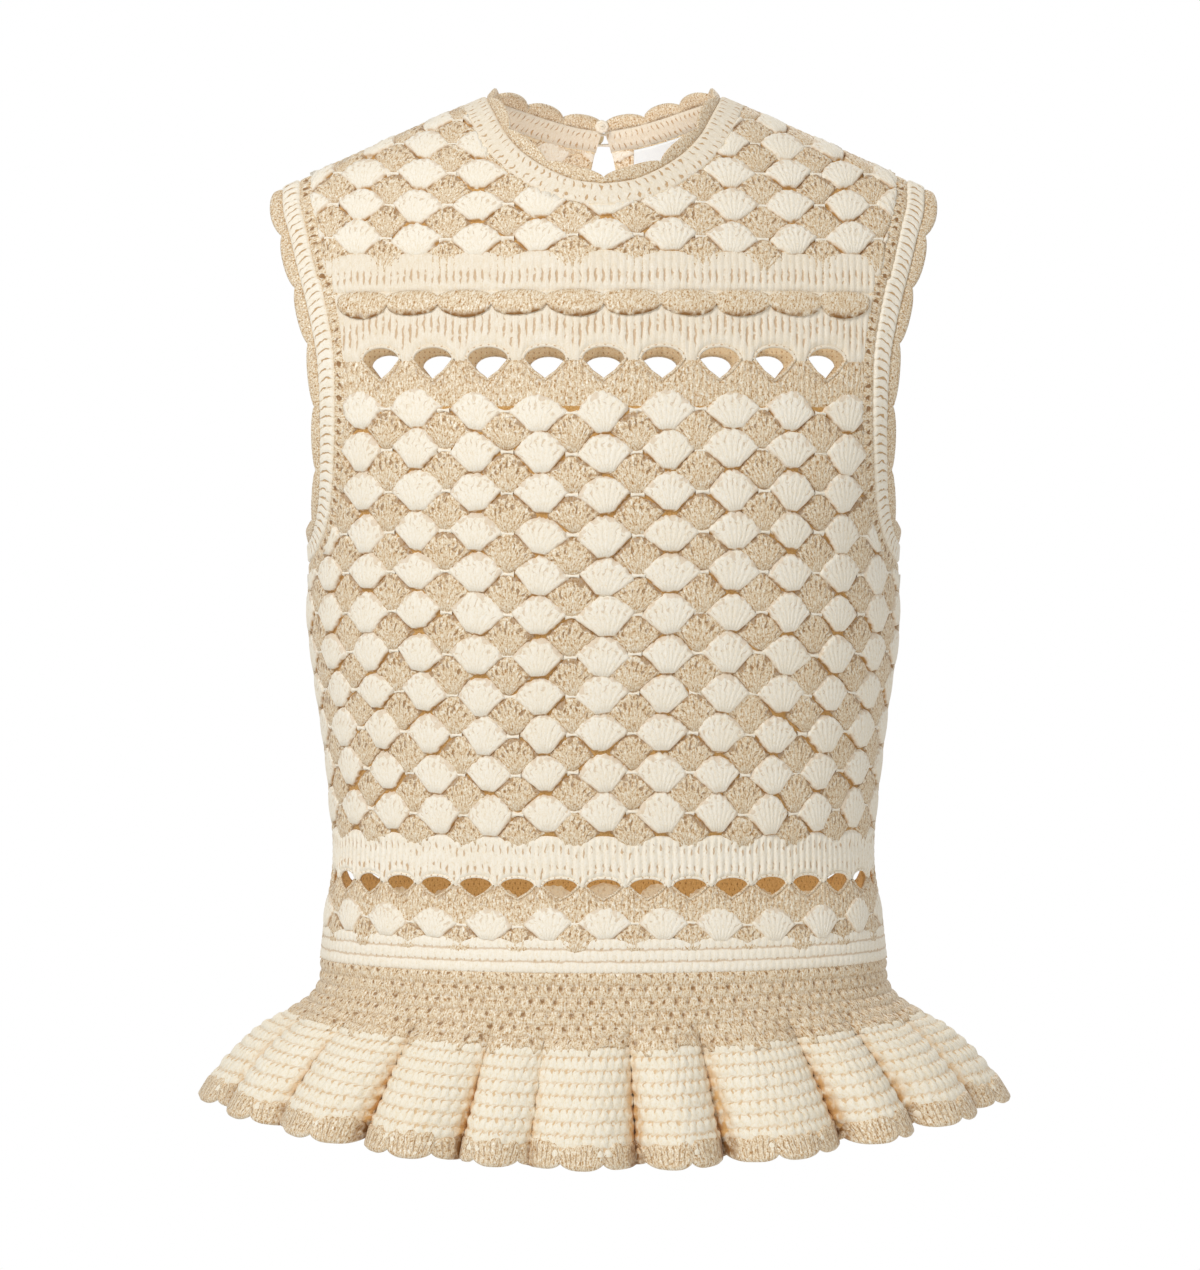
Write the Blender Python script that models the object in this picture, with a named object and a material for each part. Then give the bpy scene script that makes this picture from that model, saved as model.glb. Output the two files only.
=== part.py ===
"""Sleeveless crochet top with a fluted peplum, filled out and hollow.

Frame: metres, +Z up, the front faces -Y, the wearer's left is +X.
The origin lies between the shoulders, at the height of the neck points.
Each sewn or crocheted piece is one closed wall; seams keep a gap of 0.3 mm.
"""

import math

import bmesh
import bpy
import numpy as np
from mathutils import Vector
from mathutils.geometry import delaunay_2d_cdt

MM = 0.001
FRONT = -1
BACK = 1

# ---------------------------------------------------------------- driving sizes
WALL = 2.0 * MM
SEAM_GAP = 0.3 * MM
HALF_GAP = SEAM_GAP / 2
SMOOTH_ANGLE = 50.0

# Level sections of the body, in millimetres. Above the underarm the sections
# run on past the armholes, which are cut out of them.
BODY_COLUMNS = ("height", "half_width", "front_depth", "back_depth")
BODY_SECTIONS = (
    (-480.0, 153.0, 107.0, 103.0),
    (-467.0, 151.0, 105.0, 102.0),
    (-445.0, 148.5, 101.5, 98.0),
    (-420.0, 144.5, 98.5, 94.0),
    (-376.0, 146.5, 102.0, 93.0),
    (-338.0, 151.0, 108.0, 95.0),
    (-293.0, 157.0, 116.0, 99.0),
    (-238.0, 159.0, 122.0, 104.0),
    (-195.0, 173.0, 121.0, 106.0),
    (-150.0, 188.0, 116.0, 104.0),
    (-100.0, 196.0, 108.0, 100.0),
    (-50.0, 198.0, 102.0, 94.0),
    (20.0, 194.0, 98.0, 88.0),
)

# The crest is the line over the shoulders, from the neck to the armholes.
NECK_POINT = 50.0 * MM
CREST_SLOPE = 0.46
CREST_ROUND = 25.0 * MM
CREST_REACH = 200.0 * MM
CREST_POWER = 0.57

# How finely lengths along the cloth and directions off it are worked out.
RING_STEPS = 60
RISE_STEPS = 240
RISE_FOOT = -480.0 * MM
RISE_COLUMN = 80.0 * MM
RISE_TOP_GAP = 2.0 * MM
RISE_SPARE = 60.0 * MM
LINE_STEPS = 40
SLOPE_STEP = 0.001 * MM
CREST_NEAR = 0.01 * MM
SIDE_NEAR = 0.001 * MM
STEEP_BELOW = 60.0 * MM

# Crochet pattern: a column is one shell wide and a row one shell tall.
COLUMNS_IN_PANEL = 13
ROW_PITCH = 21.18 * MM
SHELL_ROWS = 11
LOWEST_SHELL = -385.0 * MM
YOKE_SHELL = -83.7 * MM
YOKE_HALF_ROWS = 11
CREAM_RAISE = 1.8 * MM
GOLD_RAISE = 1.1 * MM
BAND_RAISE = 0.3 * MM
BAND_LEVELS = (-134.0 * MM, -125.3 * MM, -112.3 * MM, -99.0 * MM)
EDGE_CLEARANCE = 4.5 * MM
SHOULDER_CLEARANCE = 3.0 * MM

# How many edges a seam has.
SHOULDER_STEPS = 6
SIDE_STEPS = 7
WAIST_SIDE_STEPS = 5

# Seam heights, down the body.
UNDERARM = -240.0 * MM
WAIST_BAND_TOP = -398.0 * MM
WAIST_BAND_LOW = -467.5 * MM

# Large eyelets across the chest and small ones round the waist.
CHEST_EYELETS = 9
CHEST_EYELET_PITCH = 30.5 * MM
CHEST_EYELET_HEIGHT = -149.8 * MM
CHEST_EYELET_SIZE = (23.4 * MM, 18.8 * MM)
WAIST_EYELETS = 17
WAIST_EYELET_HEIGHT = -424.4 * MM
WAIST_EYELET_SIZE = (17.6 * MM, 11.2 * MM)
EYELET_ARCH_STEPS = 5
EYELET_SPRING = 0.1
EYELET_CHEEK = (0.27, 0.25)

# Waist band pattern rows: height, first column (0 whole, 0.5 between), raise.
WAIST_COLUMNS = ("height", "start", "raise_mm")
WAIST_ROWS = (
    (-408.5, 0.0, 0.3),
    (-435.2, 0.5, 1.1),
    (-443.2, 0.0, 1.8),
    (-451.0, 0.5, 1.1),
    (-459.5, 0.0, 0.3),
)

# Neck line, where the cream band meets the gold edging, from the centre of the
# front up to the crest, and from the centre of the back up to the crest.
NECK_COLUMNS = ("half_width", "height")
NECK_FRONT = (
    (0.0, -55.0), (15.0, -52.8), (27.0, -47.8), (38.0, -41.0),
    (46.0, -34.0), (53.0, -24.5), (58.0, -15.0), (61.0, -8.8), (62.5, -5.2),
)
NECK_BACK = (
    (0.0, -19.5), (16.0, -17.0), (30.0, -13.6), (47.0, -8.6), (57.0, -6.0), (62.5, -5.2),
)
NECK_SCALLOPS = 14
NECK_BAND = 13.0 * MM
NECK_EDGING = 2.2 * MM
NECK_BUMP = 4.3 * MM
NECK_STAND = 2.6 * MM

# Rim of the armhole, seen from the front: height and distance from the centre.
ARMHOLE_COLUMNS = ("height", "half_width")
ARMHOLE_RIM = (
    (-56.6, 177.0), (-69.0, 175.5), (-82.0, 171.5), (-100.0, 166.5), (-116.0, 162.0),
    (-132.0, 158.0), (-150.0, 154.5), (-179.0, 152.5), (-209.0, 152.3), (-225.0, 153.6),
    (-235.0, 156.0), (-240.0, 158.6),
)
ARMHOLE_SCALLOPS = 14
ARMHOLE_EDGING = 7.0 * MM
ARMHOLE_BAND = 15.0 * MM
ARMHOLE_BUMP = 3.4 * MM
STEPS_A_SCALLOP = 4
STEPS_AN_ARMHOLE_SCALLOP = 3
SCALLOP_FULLNESS = 0.7

# Slit at the nape, down from the neck band: distance down and half width.
SLIT_COLUMNS = ("down", "half_width")
SLIT = ((6.0, 5.6), (14.0, 6.9), (26.0, 7.8), (40.0, 7.6), (54.0, 6.0), (63.0, 3.4))
SLIT_TIP = 67.0 * MM
SLIT_MOUTH = 0.6 * MM
SLIT_BAND_FOOT = 4.3 * MM

# Raised scalloped rib across the chest.
TRIM_TOP = -112.9 * MM
TRIM_LOW = -121.2 * MM
TRIM_DIP = 4.6 * MM
TRIM_SCALLOPS = 10
TRIM_LIFT_TOP = 0.5 * MM
TRIM_LIFT_LOW = 1.5 * MM
TRIM_WALL = 1.8 * MM
TRIM_END_GAP = 1.0 * MM

# Peplum, by its distance down the cloth as a share of its whole drop.
PEPLUM_COLUMNS = ("share", "half_width", "side_height", "front_depth", "front_height", "back_depth")
PEPLUM_SECTIONS = (
    (0.00, 151.1, -467.8, 105.1, -467.8, 102.1),
    (0.14, 152.4, -481.0, 107.0, -482.0, 104.0),
    (0.27, 159.0, -491.0, 110.0, -495.5, 107.5),
    (0.40, 169.0, -498.5, 113.5, -508.5, 111.0),
    (0.55, 181.0, -506.0, 118.0, -523.5, 116.0),
    (0.70, 192.0, -516.5, 122.5, -538.5, 120.5),
    (0.85, 203.5, -531.0, 126.5, -553.5, 125.0),
    (1.00, 211.4, -545.0, 129.5, -568.0, 128.0),
)
PEPLUM_DROP = 102.0 * MM
YOKE_END = 0.40
RUFFLE_END = 0.83
HEM_NOTCH = 0.035
FLUTE_START = 0.25
FLUTE_GROWTH = 0.75
FLUTE_HEIGHT = 15.0 * MM
FLUTE_ROUND = 0.01
FLUTE_PINCH = 0.4
FLUTE_SINK = 1.35
ANGLE_STEP = 0.2
SHARE_STEP = 0.004
HEM_FINE_STEPS = 1440
HEM_SCALLOPS = 48
STEPS_A_HEM_SCALLOP = 3

# Valleys between the flutes: angle from the centre of the front, towards +X,
# and depth against FLUTE_HEIGHT.
FLUTE_COLUMNS = ("angle", "depth")
FLUTE_VALLEYS = (
    (-74.0, 0.6), (-56.0, 0.5), (-38.0, 1.0), (-21.4, 0.9), (-10.9, 0.45), (4.8, 1.0),
    (17.9, 1.0), (37.7, 1.1), (52.3, 0.8), (72.0, 0.7), (103.0, 0.9), (118.0, 1.0),
    (137.0, 0.8), (155.0, 1.0), (172.0, 0.9), (190.0, 0.9), (208.0, 1.0), (228.0, 0.8),
    (250.0, 1.0),
)

# Button and loop that close the neck band above the slit.
BUTTON_PLACE = (-5.0 * MM, -25.0 * MM)
BUTTON_STANDOFF = 0.3 * MM
BUTTON_COLUMNS = ("radius", "height")
BUTTON_PROFILE = (
    (1.6, 0.0), (1.6, 2.4), (4.9, 2.4), (5.5, 3.1), (5.1, 3.9), (3.4, 4.5),
)
BUTTON_TOP = 4.7 * MM
BUTTON_SIDES = 16
LOOP_RADIUS = 0.8 * MM
LOOP_TURN = 2.75 * MM
LOOP_LENGTH = 8.5 * MM
LOOP_SIDES = 8
LOOP_TURN_STEPS = 8
LOOP_BEND = 0.55

# Blank label inside the back, under the neck band.
LABEL_SPAN = (17.0 * MM, 55.0 * MM)
LABEL_COLUMNS = 6
LABEL_TOP = 1.0 * MM
LABEL_DEPTH = 23.0 * MM
LABEL_ROWS = 2
LABEL_WALL = 0.8 * MM
LABEL_STANDOFF = 0.7 * MM

# Finishes: colour, roughness, metallic.
FINISHES = {
    "cream": ((0.871, 0.800, 0.640, 1.0), 0.85, 0.0),
    "gold": ((0.680, 0.520, 0.320, 1.0), 0.60, 0.25),
    "white": ((0.900, 0.900, 0.880, 1.0), 0.55, 0.0),
}


# ---------------------------------------------------------------- tables
def table_column(rows, names, name):
    """One named column of a table, as an array."""
    place = names.index(name)
    return np.array([row[place] for row in rows], dtype=float)


def smooth_read(keys, values, at):
    """Cubic curve through (keys, values), read at the given keys."""
    slopes = np.gradient(values, keys)
    at = np.clip(np.asarray(at, dtype=float), keys[0], keys[-1])
    low = np.clip(np.searchsorted(keys, at) - 1, 0, len(keys) - 2)
    width = keys[low + 1] - keys[low]
    t = (at - keys[low]) / width
    rise = 3 * t**2 - 2 * t**3
    start_pull = (t**3 - 2 * t**2 + t) * width * slopes[low]
    end_pull = (t**3 - t**2) * width * slopes[low + 1]
    return values[low] * (1 - rise) + values[low + 1] * rise + start_pull + end_pull


SECTION_HEIGHTS = table_column(BODY_SECTIONS, BODY_COLUMNS, "height") * MM
SECTION_HALF_WIDTHS = table_column(BODY_SECTIONS, BODY_COLUMNS, "half_width") * MM
SECTION_DEPTHS = {
    FRONT: table_column(BODY_SECTIONS, BODY_COLUMNS, "front_depth") * MM,
    BACK: table_column(BODY_SECTIONS, BODY_COLUMNS, "back_depth") * MM,
}


# ---------------------------------------------------------------- body form
def half_width(z):
    """Half the width of the level section at height z."""
    return smooth_read(SECTION_HEIGHTS, SECTION_HALF_WIDTHS, z)


def crest_height(x):
    """Height of the shoulder line at distance x from the centre."""
    neck = math.hypot(NECK_POINT, CREST_ROUND)
    return CREST_SLOPE * (neck - np.hypot(x, CREST_ROUND))


def crest_distance(z):
    """Distance from the centre where the shoulder line is at height z."""
    neck = math.hypot(NECK_POINT, CREST_ROUND)
    return math.sqrt(max((neck - z / CREST_SLOPE) ** 2 - CREST_ROUND**2, 0.0))


def full_depth_squared(x, z, side):
    """Square of a section's depth, before it narrows towards the sides."""
    drop = np.minimum((crest_height(x) - z) / CREST_REACH, 1)
    lift = np.maximum(1 - (1 - drop) ** 2, 0)
    depth = smooth_read(SECTION_HEIGHTS, SECTION_DEPTHS[side], z)
    return depth**2 * lift ** (2 * CREST_POWER)


def depth_squared(x, z, side):
    """Square of the body's depth in front of, or behind, the shoulder line."""
    across = np.maximum(1 - (x / half_width(z)) ** 2, 0)
    return full_depth_squared(x, z, side) * across


def body_point(x, z, side):
    """Point of the body's middle surface at (x, z), on its front or back."""
    return np.array([x, side * math.sqrt(depth_squared(x, z, side)), z])


def body_normal(x, z, side):
    """Outward direction of the body's surface at (x, z)."""
    step = SLOPE_STEP
    if crest_height(x) - z < CREST_NEAR:
        normal = np.array([CREST_SLOPE * x / math.hypot(x, CREST_ROUND), 0.0, 1.0])
    elif half_width(z) - abs(x) < SIDE_NEAR:
        widening = (half_width(z + step) - half_width(z - step)) / (2 * step)
        normal = np.array([math.copysign(1.0, x), 0.0, -widening])
    else:
        by_x = (depth_squared(x + step, z, side) - depth_squared(x - step, z, side)) / (2 * step)
        by_z = (depth_squared(x, z + step, side) - depth_squared(x, z - step, side)) / (2 * step)
        depth = side * math.sqrt(depth_squared(x, z, side))
        normal = np.array([-by_x / 2, depth, -by_z / 2])
    return normal / np.linalg.norm(normal)


# ---------------------------------------------------------------- flat pattern
RING_CACHE = {}
RISE_CACHE = {}


def ring(z, side):
    """Distances from the centre, and lengths round the body, of the section at z."""
    key = (round(float(z), 7), side)
    if key not in RING_CACHE:
        reach = min(float(half_width(z)), crest_distance(z))
        x = reach * np.sin(np.linspace(0, math.pi / 2, RING_STEPS + 1))
        y = np.sqrt(depth_squared(x, z, side))
        steps = np.hypot(np.diff(x), np.diff(y))
        RING_CACHE[key] = (x, np.concatenate([[0.0], np.cumsum(steps)]))
    return RING_CACHE[key]


def girth_at(x, z, side):
    """Length round the body from the centre line to x."""
    xs, lengths = ring(z, side)
    return math.copysign(float(np.interp(abs(x), xs, lengths)), x)


def across_at(girth, z, side):
    """Distance x from the centre at a length round the body."""
    xs, lengths = ring(z, side)
    return math.copysign(float(np.interp(abs(girth), lengths, xs)), girth)


def girth_limit(z, side):
    """Length round the body from the centre line to the side or the crest."""
    return float(ring(z, side)[1][-1])


def rise_table(side):
    """Heights, and lengths up the cloth, along one column of the pattern."""
    if side not in RISE_CACHE:
        top = float(crest_height(RISE_COLUMN)) - RISE_TOP_GAP
        heights = np.linspace(RISE_FOOT, top, RISE_STEPS + 1)
        depths = np.sqrt(depth_squared(RISE_COLUMN, heights, side))
        steps = np.hypot(np.diff(heights), np.diff(depths))
        lengths = np.concatenate([[0.0], np.cumsum(steps)])
        heights = np.append(heights, top + RISE_SPARE)
        lengths = np.append(lengths, lengths[-1] + 2 * RISE_SPARE)
        RISE_CACHE[side] = (heights, lengths)
    return RISE_CACHE[side]


def rise_at(z, side):
    """Length up the cloth to height z."""
    heights, lengths = rise_table(side)
    return float(np.interp(z, heights, lengths))


def height_at(rise, side):
    """Height z at a length up the cloth."""
    heights, lengths = rise_table(side)
    return float(np.interp(rise, lengths, heights))


def column_pitch(z, side):
    """Width of one pattern column at height z."""
    return girth_limit(min(z, UNDERARM), side) / (COLUMNS_IN_PANEL / 2)


class Pattern:
    """Points of one piece: on its flat pattern, on the body, and how far raised."""

    def __init__(self, side):
        self.side = side
        self.flat = []
        self.place = []
        self.normal = []
        self.raised = []

    def add(self, x, z, raised=0.0, off_seam=False):
        """Add the body's point at (x, z); off_seam keeps it half a gap from y = 0."""
        place = body_point(x, z, self.side)
        if off_seam:
            place[1] = self.side * max(abs(place[1]), HALF_GAP)
        self.flat.append((girth_at(x, z, self.side) / MM, rise_at(z, self.side) / MM))
        self.place.append(place)
        self.normal.append(body_normal(x, z, self.side))
        self.raised.append(raised)
        return len(self.place) - 1

    def add_flat(self, girth, z, raised=0.0, off_seam=False):
        """Add the point at a length round the body, at height z."""
        return self.add(across_at(girth, z, self.side), z, raised, off_seam)


def inside_loop(point, loop):
    """Whether a point of the flat pattern lies inside a closed loop."""
    x, y = point
    inside = False
    for (ax, ay), (bx, by) in zip(loop, loop[1:] + loop[:1]):
        if (ay > y) != (by > y) and x < (bx - ax) * (y - ay) / (by - ay) + ax:
            inside = not inside
    return inside


def loop_distance(point, loop):
    """Shortest distance on the flat pattern from a point to a closed loop."""
    start = np.array(loop)
    edge = np.roll(start, -1, axis=0) - start
    along = np.sum((np.array(point) - start) * edge, axis=1) / np.sum(edge**2, axis=1)
    nearest = start + edge * np.clip(along, 0, 1)[:, None]
    return float(np.min(np.linalg.norm(nearest - np.array(point), axis=1)))


def points_within(pattern, candidates, loops):
    """The candidates that lie in the piece, clear of its edges and holes."""
    flat_loops = [[pattern.flat[i] for i in loop] for loop in loops]
    kept = []
    for i in candidates:
        point = pattern.flat[i]
        if not inside_loop(point, flat_loops[0]):
            continue
        if any(inside_loop(point, hole) for hole in flat_loops[1:]):
            continue
        if min(loop_distance(point, loop) for loop in flat_loops) > EDGE_CLEARANCE / MM:
            kept.append(i)
    return kept


def pattern_triangles(pattern, loops, interior):
    """Triangles over the flat pattern, between its edges and round its holes."""
    used = [i for loop in loops for i in loop] + list(interior)
    edges = []
    start = 0
    for loop in loops:
        count = len(loop)
        edges += [(start + k, start + (k + 1) % count) for k in range(count)]
        start += count
    flat = [Vector(pattern.flat[i]) for i in used]
    corners, _, faces, origins, _, _ = delaunay_2d_cdt(flat, edges, [], 0, 1e-6)
    source = [used[origin[0]] for origin in origins]
    flat_loops = [[pattern.flat[i] for i in loop] for loop in loops]
    kept = []
    for face in faces:
        centre = sum((corners[v] for v in face), Vector((0, 0))) / 3
        if not inside_loop(centre, flat_loops[0]):
            continue
        if any(inside_loop(centre, hole) for hole in flat_loops[1:]):
            continue
        kept.append([source[v] for v in face])
    return kept


# ---------------------------------------------------------------- meshes
def make_material(name, finish):
    """A Principled material of the piece's own."""
    colour, roughness, metallic = FINISHES[finish]
    material = bpy.data.materials.new(name)
    material.use_nodes = True
    shader = material.node_tree.nodes["Principled BSDF"]
    shader.inputs["Base Color"].default_value = colour
    shader.inputs["Roughness"].default_value = roughness
    shader.inputs["Metallic"].default_value = metallic
    return material


def add_object(name, corners, faces, finish):
    """Make the closed body of one piece, its faces pointing out."""
    mesh = bpy.data.meshes.new(name)
    mesh.from_pydata([tuple(corner) for corner in corners], [], faces)
    body = bmesh.new()
    body.from_mesh(mesh)
    bmesh.ops.recalc_face_normals(body, faces=body.faces)
    if body.calc_volume(signed=True) < 0:
        bmesh.ops.reverse_faces(body, faces=body.faces)
    body.to_mesh(mesh)
    body.free()
    mesh.shade_smooth()
    mesh.set_sharp_from_angle(angle=math.radians(SMOOTH_ANGLE))
    piece = bpy.data.objects.new(name, mesh)
    bpy.context.scene.collection.objects.link(piece)
    mesh.materials.append(make_material(name, finish))
    return piece


def add_pattern_wall(name, pattern, loops, outer, inner, finish):
    """A wall over a flat pattern: raised points outside, a plain inside."""
    corners = []
    outer_place = {}
    inner_place = {}
    for i in [i for loop in loops for i in loop] + list(outer):
        outer_place[i] = len(corners)
        corners.append(pattern.place[i] + pattern.normal[i] * (WALL / 2 + pattern.raised[i]))
    for i in [i for loop in loops for i in loop] + list(inner):
        inner_place[i] = len(corners)
        corners.append(pattern.place[i] - pattern.normal[i] * (WALL / 2))
    faces = []
    for face in pattern_triangles(pattern, loops, outer):
        faces.append([outer_place[i] for i in face])
    for face in pattern_triangles(pattern, loops, inner):
        faces.append([inner_place[i] for i in reversed(face)])
    for loop in loops:
        for a, b in zip(loop, loop[1:] + loop[:1]):
            faces.append([outer_place[a], outer_place[b], inner_place[b], inner_place[a]])
    return add_object(name, corners, faces, finish)


def add_ribbon(name, outer_rows, inner_rows, closed, finish):
    """A wall between matching rows of outer and inner points."""
    rows = len(outer_rows)
    count = len(outer_rows[0])
    corners = [p for row in outer_rows for p in row] + [p for row in inner_rows for p in row]
    under = rows * count
    faces = []
    last = count if closed else count - 1
    for r in range(rows - 1):
        for k in range(last):
            a = r * count + k
            b = r * count + (k + 1) % count
            faces.append([a, b, b + count, a + count])
            faces.append([under + a, under + a + count, under + b + count, under + b])
    for r in (0, rows - 1):
        for k in range(last):
            a = r * count + k
            b = r * count + (k + 1) % count
            faces.append([a, under + a, under + b, b])
    if not closed:
        for k in (0, count - 1):
            for r in range(rows - 1):
                a = r * count + k
                faces.append([a, a + count, under + a + count, under + a])
    return add_object(name, corners, faces, finish)


def wall_rows(rows):
    """Outer and inner rows at half a wall each side of (place, normal) rows."""
    outer = [[place + normal * WALL / 2 for place, normal in row] for row in rows]
    inner = [[place - normal * WALL / 2 for place, normal in row] for row in rows]
    return outer, inner


# ---------------------------------------------------------------- edge lines
class EdgeLine:
    """A line on the body's surface, with offsets to one side of it."""

    def __init__(self, places, sides, kinds, away_from, closed):
        self.places = places
        self.sides = sides
        self.kinds = kinds
        self.normals = [
            body_normal(p[0], p[2], side) for p, side in zip(places, sides)
        ]
        self.outward = []
        count = len(places)
        for k, place in enumerate(places):
            before = places[(k - 1) % count] if closed else places[max(k - 1, 0)]
            after = places[(k + 1) % count] if closed else places[min(k + 1, count - 1)]
            across = np.cross(self.normals[k], after - before)
            across /= np.linalg.norm(across)
            if np.dot(across, place - away_from) < 0:
                across = -across
            self.outward.append(across)

    def offset(self, k, distance):
        """Place and normal at a distance from point k, along the surface."""
        side = self.sides[k]
        x, y, z = self.places[k] + self.outward[k] * distance
        if self.kinds[k] == "crest":
            z = float(crest_height(x))
            return np.array([x, 0.0, z]), body_normal(x, z, side)
        if self.kinds[k] == "side":
            x = math.copysign(float(half_width(z)), x)
            return np.array([x, 0.0, z]), body_normal(x, z, side)
        if self.kinds[k] == "centre":
            return body_point(0.0, z, side), body_normal(0.0, z, side)
        if crest_height(x) - z > STEEP_BELOW:
            x /= math.sqrt((x / half_width(z)) ** 2 + y**2 / full_depth_squared(x, z, side))
        return body_point(x, z, side), body_normal(x, z, side)


def dense_line(rows, names, side, level_ends):
    """Many points along a table of half widths and heights; level_ends have y = 0."""
    widths = table_column(rows, names, "half_width") * MM
    heights = table_column(rows, names, "height") * MM
    marks = np.arange(len(rows), dtype=float)
    fine = np.linspace(0, len(rows) - 1, LINE_STEPS * (len(rows) - 1) + 1)
    xs = smooth_read(marks, widths, fine)
    zs = smooth_read(marks, heights, fine)
    points = []
    for x, z in zip(xs, zs):
        z = min(z, float(crest_height(x)))
        x = min(x, float(half_width(z)))
        points.append(body_point(x, z, side))
    for end in level_ends:
        points[end][1] = 0.0
    return np.array(points)


def even_points(points, segments):
    """Points an equal length apart along a dense line."""
    steps = np.linalg.norm(np.diff(points, axis=0), axis=1)
    lengths = np.concatenate([[0.0], np.cumsum(steps)])
    wanted = np.linspace(0, lengths[-1], segments + 1)
    return [np.array([np.interp(w, lengths, points[:, i]) for i in range(3)]) for w in wanted]


def on_surface(point, side):
    """The same x and z, set exactly on the body's surface."""
    return body_point(float(point[0]), float(point[2]), side)


def armhole_line():
    """Closed rim of the +X armhole: shoulder, front, underarm, back."""
    half = ARMHOLE_SCALLOPS * STEPS_AN_ARMHOLE_SCALLOP // 2
    places = []
    sides = []
    kinds = []
    for side in (FRONT, BACK):
        line = even_points(dense_line(ARMHOLE_RIM, ARMHOLE_COLUMNS, side, (0, -1)), half)
        if side == BACK:
            line = line[::-1]
        for k, point in enumerate(line[:-1]):
            at_crest = side == FRONT and k == 0
            at_side = side == BACK and k == 0
            kinds.append("crest" if at_crest else "side" if at_side else "open")
            sides.append(side)
            if at_crest:
                point = np.array([point[0], 0.0, float(crest_height(point[0]))])
            elif at_side:
                point = np.array([float(half_width(point[2])), 0.0, point[2]])
            else:
                point = on_surface(point, side)
            places.append(point)
    centre = np.mean(places, axis=0)
    return EdgeLine(places, sides, kinds, centre, True)


def neck_line():
    """Open neck line: from the slit, along the +X back, the front, to the -X back."""
    quarter = NECK_SCALLOPS * STEPS_A_SCALLOP // 4
    back = even_points(dense_line(NECK_BACK, NECK_COLUMNS, BACK, (-1,)), quarter)
    front = even_points(dense_line(NECK_FRONT, NECK_COLUMNS, FRONT, (-1,)), quarter)
    half = []
    for k, point in enumerate(back[:-1]):
        half.append((on_surface(point, BACK), BACK, "centre" if k == 0 else "open"))
    crest = np.array([front[-1][0], 0.0, float(crest_height(front[-1][0]))])
    half.append((crest, FRONT, "crest"))
    for point in front[-2:0:-1]:
        half.append((on_surface(point, FRONT), FRONT, "open"))
    middle = (on_surface(front[0], FRONT), FRONT, "centre")
    mirror = np.array([-1.0, 1.0, 1.0])
    other = [(place * mirror, side, kind) for place, side, kind in reversed(half)]
    whole = half + [middle] + other
    places = [place for place, _, _ in whole]
    sides = [side for _, side, _ in whole]
    kinds = [kind for _, _, kind in whole]
    centre = np.mean(places, axis=0)
    return EdgeLine(places, sides, kinds, centre, False)


def scallop(k, steps):
    """Height of a scalloped edge, 0 at its notches to 1, at step k."""
    return math.sin(math.pi * (k % steps) / steps) ** SCALLOP_FULLNESS


# ---------------------------------------------------------------- panels
def eyelet_loop(pattern, girth, z, size):
    """Hole with an arched top and a pointed foot, as a loop of points."""
    width, height = size
    rise = rise_at(z, pattern.side)
    shape = []
    for k in range(EYELET_ARCH_STEPS + 1):
        turn = math.pi * k / EYELET_ARCH_STEPS
        shape.append((math.cos(turn) / 2, EYELET_SPRING + (0.5 - EYELET_SPRING) * math.sin(turn)))
    cheek, below = EYELET_CHEEK
    shape += [(-cheek, -below), (0.0, -0.5), (cheek, -below)]
    loop = []
    for right, up in shape:
        level = height_at(rise + up * height, pattern.side)
        loop.append(pattern.add_flat(girth + right * width, level))
    return loop


def shell_points(pattern, rise, number, lattice):
    """One half-row of the shell pattern: alternate points raised."""
    z = height_at(rise, pattern.side)
    pitch = column_pitch(z, pattern.side)
    limit = girth_limit(z, pattern.side)
    steps = int(limit / pitch * 2)
    for half_column in range(-steps, steps + 1):
        girth = half_column * pitch / 2
        if abs(girth) > limit - EDGE_CLEARANCE:
            continue
        shell = (half_column + number) % 2 == 0
        height = CREAM_RAISE if number % 2 == 0 else GOLD_RAISE
        if crest_height(across_at(girth, z, pattern.side)) - z < SHOULDER_CLEARANCE:
            height = 0.0
        place = pattern.add_flat(girth, z, height if shell else 0.0)
        lattice.append((place, shell))


def panel_lattice(pattern):
    """Pattern points of a panel, each with whether the plain inside keeps it."""
    lattice = []
    side = pattern.side
    lowest = rise_at(LOWEST_SHELL, side)
    for number in range(-1, 2 * SHELL_ROWS):
        shell_points(pattern, lowest + number * ROW_PITCH / 2, number, lattice)
    for level in BAND_LEVELS:
        pitch = column_pitch(level, side)
        for half_column in range(-COLUMNS_IN_PANEL, COLUMNS_IN_PANEL + 1):
            girth = half_column * pitch / 2
            if abs(girth) < girth_limit(level, side) - EDGE_CLEARANCE:
                place = pattern.add_flat(girth, level, BAND_RAISE)
                lattice.append((place, half_column % 2 == 0))
    yoke = rise_at(YOKE_SHELL, side)
    for number in range(-1, YOKE_HALF_ROWS):
        shell_points(pattern, yoke + number * ROW_PITCH / 2, number, lattice)
    return lattice


def slit_side(pattern, neck):
    """Points down the +X side of the nape slit, from the neck band to its tip."""
    foot = neck.offset(0, NECK_BAND + HALF_GAP)[0]
    start = rise_at(foot[2], BACK)
    points = [(SLIT_BAND_FOOT + HALF_GAP, foot[2])]
    downs = table_column(SLIT, SLIT_COLUMNS, "down") * MM
    widths = table_column(SLIT, SLIT_COLUMNS, "half_width") * MM
    for down, width in zip(downs, widths):
        points.append((width, height_at(start - down, BACK)))
    return points, height_at(start - SLIT_TIP, BACK)


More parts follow.
